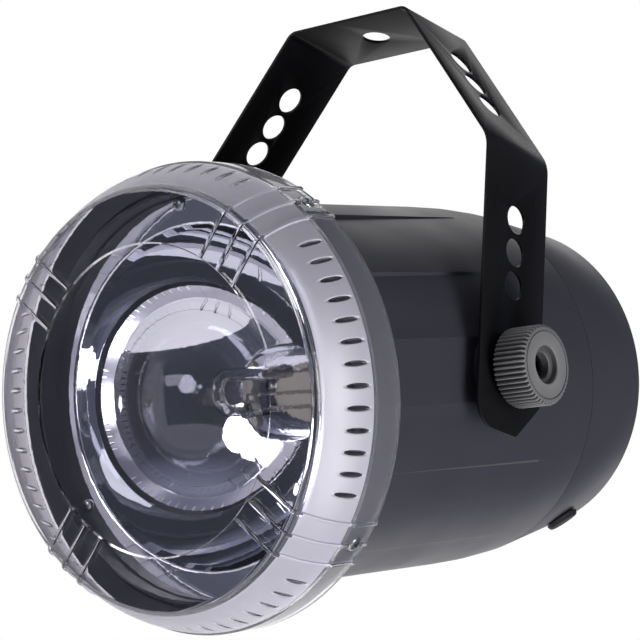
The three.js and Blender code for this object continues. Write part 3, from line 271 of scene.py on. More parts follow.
def drawn(name: str, points: Sequence[Vector]) -> Piece:
    """Draws a run of edges: a plane is merged to a point, which is extruded from place to place.

    Args:
        name: The piece's name.
        points: Places in millimetres.

    Returns:
        The piece, left in edit mode with its last point selected.
    """
    bpy.ops.object.select_all(action="DESELECT")
    bpy.ops.mesh.primitive_plane_add(size=MM)
    piece = bpy.context.object
    piece.name = name
    into("EDIT")
    bpy.ops.mesh.select_mode(type="VERT")
    pick_all()
    bpy.ops.mesh.merge(type="CENTER")
    bpy.ops.transform.translate(value=points[0] * MM)
    for last, here in zip(points, points[1:]):
        bpy.ops.mesh.extrude_vertices_move(TRANSFORM_OT_translate={"value": (here - last) * MM})
    return piece


def turned(name: str, outline: Sequence[Point], steps: int = 96) -> Piece:
    """Spins a closed outline of (radius, y) about the Y axis, as a lathe would.

    Args:
        name: The piece's name.
        outline: The half section, in millimetres.
        steps: Facets round the axis.

    Returns:
        The piece.
    """
    points = [Vector((radius, y, 0)) for radius, y in outline]
    piece = drawn(name, [*points, points[0]])
    pick_all()
    bpy.ops.mesh.spin(steps=steps, angle=math.tau, center=(0, 0, 0), axis=(0, 1, 0))
    mend()
    into("OBJECT")
    return piece


def loop_radius(piece: Piece) -> float:
    """Measures the selected loop.

    Args:
        piece: The piece being edited.

    Returns:
        Its mean radius about the Y axis, in millimetres.
    """
    into("OBJECT")
    radii = [math.hypot(v.co.x, v.co.z) / MM for v in piece.data.vertices if v.select]
    into("EDIT")
    return sum(radii) / len(radii)


def ring_drawn(name: str, loop: Sequence[Vector]) -> Piece:
    """Draws a closed loop.

    Args:
        name: The piece's name.
        loop: Places in millimetres.

    Returns:
        The piece, left in edit mode with the loop selected.
    """
    piece = drawn(name, [*loop, loop[0]])
    pick_all()
    bpy.ops.mesh.remove_doubles(threshold=2e-6)
    return piece


def lofted(
    piece: Piece, start: Point, stages: Sequence[tuple[float, float]], stepped: int = 0
) -> Point:
    """Extrudes the selected loop along the Y axis from stage to stage, and sizes it at each.

    Args:
        piece: The piece being edited.
        start: Radius and place of the loop.
        stages: Radius and place of each stage.
        stepped: How many stages keep the loop's own form. At the next one it becomes round.

    Returns:
        Radius and place of the last stage.
    """
    radius, y = start
    for i, (size, to) in enumerate(stages):
        grow((0, (to - y) * MM, 0))
        centre = (0, to * MM, 0)
        if i == stepped:
            bpy.ops.transform.tosphere(value=1, center_override=centre)
            radius = loop_radius(piece)
        scale = size / radius
        bpy.ops.transform.resize(value=(scale, 1, scale), center_override=centre)
        radius, y = size, to
    return radius, y


def bridged(piece: Piece, y: float) -> None:
    """Closes the gap between two loops that lie in one plane, and ends the editing.

    Args:
        piece: The piece being edited.
        y: Where the plane is, in millimetres.
    """
    choose(piece, lambda place: abs(place.y - y) < 0.01)
    bpy.ops.mesh.bridge_edge_loops()
    mend()
    into("OBJECT")


def extruded(name: str, outline: Sequence[Vector], depth: Vector) -> Piece:
    """Fills a flat closed outline and extrudes it.

    Args:
        name: The piece's name.
        outline: Places in millimetres, in one plane.
        depth: How far, and which way, the face is extruded.

    Returns:
        The piece.
    """
    piece = drawn(name, outline)
    pick_all()
    bpy.ops.mesh.edge_face_add()
    grow(depth * MM)
    mend()
    into("OBJECT")
    return piece


def rod(name: str, radius: float, low: float, high: float, sides: int = 32) -> Piece:
    """A rod along the Y axis between two heights."""
    return turned(name, [(0, low), (radius, low), (radius, high), (0, high)], sides)


def moved(piece: Piece, matrix: Matrix) -> Piece:
    """Moves a piece and applies the move to its mesh.

    Args:
        piece: The piece.
        matrix: The move, in metres.

    Returns:
        The same piece.
    """
    pick(piece)
    piece.matrix_world = matrix @ piece.matrix_world
    bpy.ops.object.transform_apply(location=True, rotation=True, scale=True)
    return piece


def copied(piece: Piece, name: str, matrix: Matrix) -> Piece:
    """Copies a piece with its mesh and moves the copy.

    Args:
        piece: The piece.
        name: The copy's name.
        matrix: The move, in metres.

    Returns:
        The copy.
    """
    twin = piece.copy()
    twin.data = piece.data.copy()
    twin.name = name
    bpy.context.collection.objects.link(twin)
    return moved(twin, matrix)


def joined(pieces: Sequence[Piece]) -> Piece:
    """Joins pieces into the first one.

    Args:
        pieces: The pieces.

    Returns:
        The first one.
    """
    pick(*pieces)
    if len(pieces) > 1:
        bpy.ops.object.join()
    return pieces[0]


def finished_with(piece: Piece, kind: str, **settings: Any) -> Piece:
    """Adds a modifier and applies it.

    Args:
        piece: The piece.
        kind: The modifier's type.
        **settings: Its properties.

    Returns:
        The same piece.
    """
    pick(piece)
    modifier = piece.modifiers.new(kind.title(), kind)
    for key, value in settings.items():
        setattr(modifier, key, value)
    bpy.ops.object.modifier_apply(modifier=modifier.name)
    return piece


def worked(piece: Piece, tools: Sequence[Piece], operation: str) -> Piece:
    """Cuts tools out of a piece, or joins them to it.

    Args:
        piece: The piece.
        tools: Closed meshes, which are used up.
        operation: DIFFERENCE, UNION or INTERSECT.

    Returns:
        The same piece.
    """
    tool = joined(tools)
    finished_with(piece, "BOOLEAN", operation=operation, solver="EXACT", use_self=len(tools) > 1, object=tool)
    bpy.data.objects.remove(tool)
    return piece


def eased(piece: Piece, width: float, segments: int = 2, angle: float = 30) -> Piece:
    """Rounds a piece's sharp edges and smooths its shading.

    Args:
        piece: The piece.
        width: Width of the rounding in millimetres, or 0 for none.
        segments: Steps across it.
        angle: Sharpest bend, in degrees, that still counts as smooth.

    Returns:
        The same piece.
    """
    if width:
        finished_with(
            piece,
            "BEVEL",
            width=width * MM,
            segments=segments,
            limit_method="ANGLE",
            angle_limit=math.radians(angle),
            use_clamp_overlap=True,
            harden_normals=False,
        )
    pick(piece)
    bpy.ops.object.shade_smooth_by_angle(angle=math.radians(angle))
    return piece


# Finishes


def add_node(
    tree: Tree,
    kind: str,
    settings: Mapping[str | int, Any] | None = None,
    links: Mapping[str | int, Socket] | None = None,
) -> bpy.types.Node:
    """Adds a node, with its settings and the sockets that feed it.

    Args:
        tree: The node tree.
        kind: The node's type name.
        settings: Values by input socket, or else by property.
        links: Output sockets by input socket.

    Returns:
        The node.
    """
    node = tree.nodes.new(kind)
    for key, value in (settings or {}).items():
        if isinstance(key, int) or key in node.inputs:
            node.inputs[key].default_value = value
        else:
            setattr(node, key, value)
    for key, socket in (links or {}).items():
        tree.links.new(socket, node.inputs[key])
    return node


def blank_material(name: str) -> tuple[bpy.types.Material, Tree]:
    """A material with an empty node tree."""
    material = bpy.data.materials.new(name)
    material.use_nodes = True
    material.node_tree.nodes.clear()
    return material, material.node_tree


def sums(tree: Tree, operation: str, *terms: Socket | float) -> Socket:
    """One step of arithmetic on sockets and numbers.

    Args:
        tree: The node tree.
        operation: The math node's operation.
        *terms: What it works on.

    Returns:
        The result's socket.
    """
    settings = {k: term for k, term in enumerate(terms) if isinstance(term, (int, float))}
    links = {k: term for k, term in enumerate(terms) if not isinstance(term, (int, float))}
    return add_node(tree, "ShaderNodeMath", {"operation": operation, **settings}, links).outputs["Value"]


def spread(tree: Tree, value: Socket, span: Point, onto: Point) -> Socket:
    """Maps a span of a value onto another span, and holds it there.

    Args:
        tree: The node tree.
        value: The value's socket.
        span: The value's two ends.
        onto: What they become.

    Returns:
        The result's socket.
    """
    ends = {"From Min": span[0], "From Max": span[1], "To Min": onto[0], "To Max": onto[1]}
    return add_node(tree, "ShaderNodeMapRange", ends, {"Value": value}).outputs["Result"]


def blend(
    tree: Tree, share: Socket, first: str | Socket, second: str
) -> Socket:
    """Mixes two colours.

    Args:
        tree: The node tree.
        share: How much of the second colour there is.
        first: The first colour, in hex or as a socket.
        second: The second colour, in hex.

    Returns:
        The mixed colour's socket.
    """
    settings, links = {"data_type": "RGBA", 7: linear(second)}, {0: share}
    if isinstance(first, str):
        settings[6] = linear(first)
    else:
        links[6] = first
    return add_node(tree, "ShaderNodeMix", settings, links).outputs[2]


def housing_place(tree: Tree, place: Socket) -> Socket:
    """Turns object coordinates into the housing's own frame."""
    back = HOUSING.inverted()
    settings = {"Location": back.to_translation(), "Rotation": back.to_euler()}
    return add_node(tree, "ShaderNodeMapping", settings, {"Vector": place}).outputs["Vector"]


def close_tree(tree: Tree, shader: Socket, kind: str = "Material") -> None:
    """Adds the output of a material or of the world."""
    add_node(tree, f"ShaderNodeOutput{kind}", {}, {"Surface": shader})


PATCH_SPAN = (0.35, 0.65)  # the noise values between which a surface turns from smooth to dull
WEAR_AND_HIGHLIGHT_BEND = (0.52, 0.62)  # the pointiness between which an edge turns pale: wear and a painted highlight
BUMP_SHARE = 0.1  # height of the grain, as a share of its size
RING_SCALE = 0.31  # the wave texture's scale that gives one ring in each unit of length
WALL_OVERLAP = (0.3, 0.6)  # how far the frost stops short of the side wall's rear end and runs past its front


@dataclass(frozen=True)
class Finish:
    """A plain surface: two close colours in soft patches, a fine grain, and pale edges of wear and painted
    highlight.

    Attributes:
        name: The material's common name and how its surface was made.
        colour: Its sRGB colour.
        patch: The colour of its patches.
        patch_mm: Size of a patch.
        grain_mm: Size of the grain.
        grain: Depth of the grain's bump, from 0 to 1.
        roughness: Its roughness, in the smooth and in the dull places.
        metallic: 1 for bare metal.
        specular: Strength of its gloss.
        ior: Index of refraction, which a metal keeps at 1.5.
        edge: Colour of its pale edges, partly wear and partly a painted highlight.
        wear_and_highlight: How much of the edge colour shows.
        coat: Strength of a clear lacquer.
    """

    name: str
    colour: str
    patch: str
    patch_mm: float = 18
    grain_mm: float = 0.6
    grain: float = 0.15
    roughness: tuple[float, float] = (0.4, 0.5)
    metallic: float = 0
    specular: float = 0.5
    ior: float = 1.5
    edge: str = "#808080"
    wear_and_highlight: float = 0
    coat: float = 0

    def pattern(self, tree: Tree, place: Socket) -> Socket:
        """The height that makes the bump: a fine grain.

        Args:
            tree: The material's node tree.
            place: Object coordinates, in metres.

        Returns:
            The height's socket.
        """
        return self.noise(tree, place, self.grain_mm, 2.0)

    @staticmethod
    def noise(
        tree: Tree, place: Socket, size_mm: float, detail: float
    ) -> Socket:
        """Noise of a size in millimetres."""
        settings = {"Scale": 1 / (size_mm * MM), "Detail": detail}
        return add_node(tree, "ShaderNodeTexNoise", settings, {"Vector": place}).outputs["Fac"]

    def build(self) -> bpy.types.Material:
        """Makes the material."""
        material, tree = blank_material(self.name)
        place = add_node(tree, "ShaderNodeTexCoord").outputs["Object"]
        patches = self.noise(tree, place, self.patch_mm, 3.0)
        colour = blend(tree, patches, self.colour, self.patch)
        # Pale edges by pointiness: partly wear, partly a painted highlight where light would catch them.
        if self.wear_and_highlight:
            bend = add_node(tree, "ShaderNodeNewGeometry").outputs["Pointiness"]
            colour = blend(tree, spread(tree, bend, WEAR_AND_HIGHLIGHT_BEND, (0, self.wear_and_highlight)), colour, self.edge)
        bump = add_node(
            tree,
            "ShaderNodeBump",
            {"Strength": self.grain, "Distance": BUMP_SHARE * self.grain_mm * MM},
            {"Height": self.pattern(tree, place)},
        )
        shader = add_node(
            tree,
            "ShaderNodeBsdfPrincipled",
            {
                "Metallic": self.metallic,
                "IOR": self.ior,
                "Specular IOR Level": self.specular,
                "Coat Weight": self.coat,
                "Coat Roughness": 0.1,
            },
            {
                "Base Color": colour,
                "Roughness": spread(tree, patches, PATCH_SPAN, self.roughness),
                "Normal": bump.outputs["Normal"],
            },
        )
        self.dress(tree, shader, place)
        close_tree(tree, shader.outputs["BSDF"])
        return material

    def dress(self, tree: Tree, shader: bpy.types.Node, place: Socket) -> None:
        """A last change to the shader, for a finish that needs one."""


@dataclass(frozen=True)
class TurnedMetal(Finish):
    """Metal with the fine rings of spinning or turning about the optical axis."""

    ring_mm: float = 0.7

    def pattern(self, tree: Tree, place: Socket) -> Socket:
        """Rings about the optical axis, broken up a little."""
        settings = {
            "wave_type": "RINGS",
            "rings_direction": "Y",
            "Scale": RING_SCALE / (self.ring_mm * MM),
            "Distortion": 1.5,
            "Detail": 2.0,
            "Detail Scale": 0.5,
        }
        rings = add_node(tree, "ShaderNodeTexWave", settings, {"Vector": housing_place(tree, place)})
        return rings.outputs["Fac"]


@dataclass(frozen=True)
class ClearFinish(Finish):
    """A clear plastic or glass, plain apart from a frosted wall where it has one.

    Attributes:
        frost: Roughness of the frosted skin outside the side wall, with the ribs on it. What is cut
            into the wall stays polished.
        wall_ends: The skin's ends as (radius, y) about the optical axis, in millimetres, rear first.
        wall_bow: How far it bows out between them.
        skin_depth: How far inside that outline the frost reaches.
        milk: How much of its light the frosted skin scatters instead of letting through.
        haze: The same for the rest of the piece behind the side wall.
        milk_colour: Colour of that scattered light.
    """

    frost: float = 0
    wall_ends: tuple[Point, Point] = ((0, 0), (0, 0))
    wall_bow: float = 0
    skin_depth: float = 0.3
    milk: float = 0
    haze: float = 0
    milk_colour: str = "#ffffff"

    def frosted(
        self, tree: Tree, place: Socket
    ) -> tuple[Socket, Socket]:
        """Finds the frosted skin and the band behind it.

        Args:
            tree: The material's node tree.
            place: Object coordinates, in metres.

        Returns:
            Where the plastic is frosted, as 0 to 1, and where it is behind the side wall.
        """
        axes = add_node(tree, "ShaderNodeSeparateXYZ", {}, {"Vector": housing_place(tree, place)}).outputs
        flat = add_node(tree, "ShaderNodeCombineXYZ", {}, {"X": axes["X"], "Y": axes["Z"]})
        radius = add_node(tree, "ShaderNodeVectorMath", {"operation": "LENGTH"}, {0: flat.outputs["Vector"]})
        (rear_radius, rear), (front_radius, front) = self.wall_ends
        share = spread(tree, axes["Y"], (rear * MM, front * MM), (0, 1))
        line = sums(tree, "MULTIPLY_ADD", share, (front_radius - rear_radius) * MM, rear_radius * MM)
        left = sums(tree, "SUBTRACT", 1.0, share)
        bow = sums(tree, "MULTIPLY", sums(tree, "MULTIPLY", share, left), 4 * self.wall_bow * MM)
        depth = sums(tree, "SUBTRACT", sums(tree, "ADD", line, bow), radius.outputs["Value"])
        skin = sums(tree, "LESS_THAN", depth, self.skin_depth * MM)
        ahead = sums(tree, "LESS_THAN", axes["Y"], (rear - WALL_OVERLAP[0]) * MM)
        behind = sums(tree, "GREATER_THAN", axes["Y"], (front - WALL_OVERLAP[1]) * MM)
        frosted = sums(tree, "MULTIPLY", skin, sums(tree, "MULTIPLY", ahead, behind))
        return frosted, sums(tree, "SUBTRACT", 1.0, ahead)

    def dress(self, tree: Tree, shader: bpy.types.Node, place: Socket) -> None:
        """Makes the shader clear, and frosts the wall's skin.

        Args:
            tree: The material's node tree.
            shader: Its shader.
            place: Object coordinates, in metres.
        """
        shader.inputs["Transmission Weight"].default_value = 1
        if not self.frost:
            return
        frosted, band = self.frosted(tree, place)
        milky = sums(tree, "MULTIPLY_ADD", frosted, self.milk, sums(tree, "MULTIPLY", band, self.haze))
        for key, socket in (
            ("Roughness", spread(tree, frosted, (0, 1), (self.roughness[0], self.frost))),
            ("Transmission Weight", sums(tree, "SUBTRACT", 1.0, milky)),
            ("Base Color", blend(tree, frosted, self.colour, self.milk_colour)),
        ):
            tree.links.new(socket, shader.inputs[key])


# Powder-coated steel: a satin black skin with a fine orange peel, which shows as soft, broken gloss. Its grey
# edges are a painted highlight along the bevels, with a little wear.
POWDER_COAT = Finish(
    "powder_coated_steel",
    "#050506",
    "#08080a",
    30,
    0.9,
    0.12,
    (0.3, 0.38),
    specular=0.12,
    edge="#4a494f",
    wear_and_highlight=0.5,
)
# Moulded ABS, satin black: spark-eroded grain that dulls the gloss, faintly blue. Its paler edges are a
# painted highlight on the panels' steps.
SATIN_ABS = Finish(
    "satin_black_abs",
    "#303038",
    "#35353e",
    40,
    0.5,
    0.2,
    (0.36, 0.46),
    specular=0.35,
    ior=1.53,
    edge="#4c4c55",
    wear_and_highlight=0.1,
)
# Moulded nylon knob: charcoal, dry, with ridges pale from wear by hands and from a painted highlight that
# makes the grooves look deeper.
KNOB_NYLON = Finish(
    "charcoal_moulded_nylon",
    "#464648",
    "#505052",
    6,
    0.35,
    0.35,
    (0.45, 0.6),
    ior=1.52,
    edge="#9b9b9d",
    wear_and_highlight=0.8,
)
# Polycarbonate, injection moulded: clear and hard, with a faint violet cast and a frosted side wall.
CLEAR_PC = ClearFinish(
    "clear_polycarbonate",
    "#f8f6fc",
    "#f5f3fb",
    30,
    2.5,
    0.05,
    (0.03, 0.03),
    ior=1.585,
    frost=0.36,
    wall_ends=((79.3, -85.1), (72, -102.2)),
    wall_bow=1.1,
    skin_depth=0.3,
    milk=0.48,
    haze=0.06,
    milk_colour="#e6e2f2",
)
# Spun aluminium, polished and vacuum coated: a mirror with faint spinning rings.
MIRROR = TurnedMetal(
    "polished_spun_aluminium", "#f4f5fa", "#eff1f7", 25, 1.4, 0.005, (0.01, 0.02), 1, ring_mm=1.4
)
# Fused quartz: water clear.
QUARTZ = ClearFinish("fused_quartz", "#ffffff", "#fbfdff", 20, 4, 0.02, (0.0, 0.01), ior=1.46)
# Zinc-plated steel: bright, with a faint grain.
ZINC_STEEL = Finish(
    "zinc_plated_steel", "#b9bcc0", "#a5a8ad", 4, 0.3, 0.15, (0.22, 0.36), 1, edge="#d8dade", wear_and_highlight=0.3
)
# Black-oxide steel: a dark, slightly oily metal.
BLACK_STEEL = Finish("black_oxide_steel", "#1c1c1e", "#262628", 4, 0.3, 0.15, (0.35, 0.5), 1)
# Nickel wire: plain and bright.
NICKEL = Finish("nickel_wire", "#c9c8c4", "#b4b2ad", 3, 0.3, 0.1, (0.15, 0.3), 1)
# Turned brass: warm, with a soft tarnish.
BRASS = Finish("turned_brass", "#c9a35a", "#a37f3e", 5, 0.3, 0.15, (0.25, 0.42), 1)
# Moulded rubber: black, dull and a little dusty.
RUBBER = Finish("moulded_rubber", "#121213", "#1b1b1c", 8, 0.4, 0.4, (0.55, 0.75), specular=0.35, ior=1.52)
# Nylon of the gland: plain black, with a soft gloss.
GLAND_NYLON = Finish("black_nylon", "#17171a", "#1e1e21", 10, 0.4, 0.2, (0.38, 0.5), ior=1.52)
# Steatite ceramic: off-white, dry, with fine pits.
STEATITE = Finish("steatite_ceramic", "#e6e1d6", "#d9d2c4", 6, 0.5, 0.3, (0.55, 0.7), ior=1.6)
# Glass-fibre laminate under a green lacquer.
LAMINATE = Finish("glass_fibre_laminate", "#2c6a45", "#265c3c", 9, 0.8, 0.2, (0.3, 0.42), coat=0.3)
# Shrink sleeve on a capacitor: blue and glossy.
SLEEVE = Finish("shrink_sleeve", "#22386f", "#1c2f60", 12, 1.2, 0.2, (0.25, 0.35))
# Enamelled winding under lacquer: dark red.
WINDING = Finish("lacquered_winding", "#7a2c22", "#5f2019", 3, 0.4, 0.6, (0.25, 0.4), coat=0.4)
LEAD_RED = Finish("red_pvc_lead", "#a8322a", "#962a24", 10, 0.5, 0.1, (0.4, 0.5))
LEAD_BLACK = Finish("black_pvc_lead", "#1c1c20", "#242428", 10, 0.5, 0.1, (0.4, 0.5))
LEAD_WHITE = Finish("white_silicone_lead", "#dcd8cc", "#cfcabd", 10, 0.5, 0.1, (0.5, 0.6))
LEAD_GREY = Finish("grey_pvc_lead", "#8d8f94", "#808288", 10, 0.5, 0.1, (0.4, 0.5))


class Paintshop:
    """Makes each finish once and hands its material out."""

    def __init__(self) -> None:
        """Starts with no finish made."""
        self._made: dict[str, bpy.types.Material] = {}

    def coat(self, piece: Piece, finish: Finish) -> None:
        """Gives a piece one finish all over.

        Args:
            piece: The piece, or a CAD node's object.
            finish: The finish.
        """
        if finish.name not in self._made:
            self._made[finish.name] = finish.build()
        piece.data.materials.clear()
        piece.data.materials.append(self._made[finish.name])


@dataclass
class Assembly:
    """A sub-assembly: what every one of them shares."""

    paint: Paintshop
    nodes: Mapping[str, Piece]
    seat: Matrix = field(default_factory=lambda: HOUSING)

    def set_down(
        self,
        piece: Piece,
        finish: Finish,
        slot: str,
        body: Body,
        stands_for: Iterable[str] = (),
        seat: Matrix | None = None,
    ) -> Piece:
        """Puts a finished piece in its place, on its body.

        Args:
            piece: The piece, in its sub-assembly's own frame.
            finish: Its finish.
            slot: Name of a material slot; not used.
            body: The body that it rides on.
            stands_for: CAD nodes that it replaces.
            seat: Its frame, where that isn't the sub-assembly's.

        Returns:
            The same piece.
        """
        moved(piece, seat or self.seat)
        self.paint.coat(piece, finish)
        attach(piece, body.value)
        if stands_for:
            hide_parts(*stands_for)
        log.info("made %s, %d faces, on %s", piece.name, len(piece.data.polygons), body.value)
        return piece

    def paint_nodes(self, finish: Finish, *names: str) -> None:
        """Gives CAD nodes that stay as they are a finish."""
        for name in names:
            self.paint.coat(self.nodes[name], finish)


# Sub-assemblies


@dataclass
class HangingBracket(Assembly):
    """The folded strip: top plate, shoulders and splayed legs, with their holes."""

    seat: Matrix = field(default_factory=lambda: HANGING)
    width: float = 36
    thickness: float = 1.2
    top_half: float = 27.5
    shoulder_half: float = 70.2
    shoulder_rise: float = 80.8
    axis_half: float = 72.7
    leg_drop: float = 23.4
    front_corner: float = 10
    rear_cut: float = 13.5
    cut_edge: float = 2.5
    top_fold: float = 4
    shoulder_fold: float = 12
    hole_radius: float = 5.1
    hanging_radius: float = 5.2
    pivot_radius: float = 3.5
    pitch: float = 12.1
    shoulder_start: float = 23.3
    leg_start: float = 30.3
    holes: int = 3

    def drill(self, x: float, z: float, direction: Vector, radius: float) -> Piece:
        """A drill through the strip."""
        reach = 8 * self.thickness
        return moved(rod("drill", radius, -reach, reach, 48), facing(Vector((x, 0, z)), direction))

    def drills(self) -> list[Piece]:
        """Drills for the hanging hole, the pivots and the rows of holes."""
        splay = (self.axis_half - self.shoulder_half) / self.shoulder_rise
        run = self.shoulder_half - self.top_half
        shoulder = Vector((run, 0, self.shoulder_rise - BRACKET_RISE)).normalized()
        tools = [self.drill(0, BRACKET_RISE, Vector((0, 0, 1)), self.hanging_radius)]
        for sign in (1, -1):
            tools.append(self.drill(sign * self.axis_half, 0, Vector((1, 0, 0)), self.pivot_radius))
            for i in range(self.holes):
                along = self.shoulder_start + i * self.pitch
                x, z = self.top_half + shoulder.x * along, BRACKET_RISE + shoulder.z * along
                square = Vector((-sign * shoulder.z, 0, shoulder.x))
                tools.append(self.drill(sign * x, z, square, self.hole_radius))
                rise = self.leg_start + i * self.pitch
                out = sign * (self.axis_half - splay * rise)
                tools.append(self.drill(out, rise, Vector((sign, 0, splay)), self.hole_radius))
        return tools

    def build(self) -> None:
        """Folds, trims and drills the strip."""
        splay = (self.axis_half - self.shoulder_half) / self.shoulder_rise
        right = [
            (self.axis_half + splay * self.leg_drop, -self.leg_drop),
            (self.shoulder_half, self.shoulder_rise),
            (self.top_half, BRACKET_RISE),
        ]
        outer = [*right, *((-x, z) for x, z in reversed(right))]
        inner = inset_path(outer, self.thickness)
        folds = [0, self.shoulder_fold, self.top_fold, self.top_fold, self.shoulder_fold, 0]
        outline = rounded(
            [
                *((x, z, r and r + self.thickness) for (x, z), r in zip(outer, folds)),
                *((x, z, r) for (x, z), r in reversed(list(zip(inner, folds)))),
            ],
            FINE_ARC,
        )
        half = self.width / 2
        strip = extruded("bracket", [Vector((x, -half, z)) for x, z in outline], Vector((0, self.width, 0)))
        low, reach = -self.leg_drop, 2 * self.axis_half
        side = rounded(
            [
                (-half, 2 * BRACKET_RISE),
                (-half, low, self.front_corner),
                (half - self.rear_cut, low, self.cut_edge),
                (half, low + self.rear_cut, self.cut_edge),
                (half, 2 * BRACKET_RISE),
            ],
            FINE_ARC,
        )
        ends = extruded("ends", [Vector((-reach, y, z)) for y, z in side], Vector((2 * reach, 0, 0)))
        worked(strip, [ends], "INTERSECT")
        worked(strip, self.drills(), "DIFFERENCE")
        eased(strip, 0.22, 2)
        self.set_down(strip, POWDER_COAT, "powder_coat", Body.BRACKET, ["bracket_strip"])


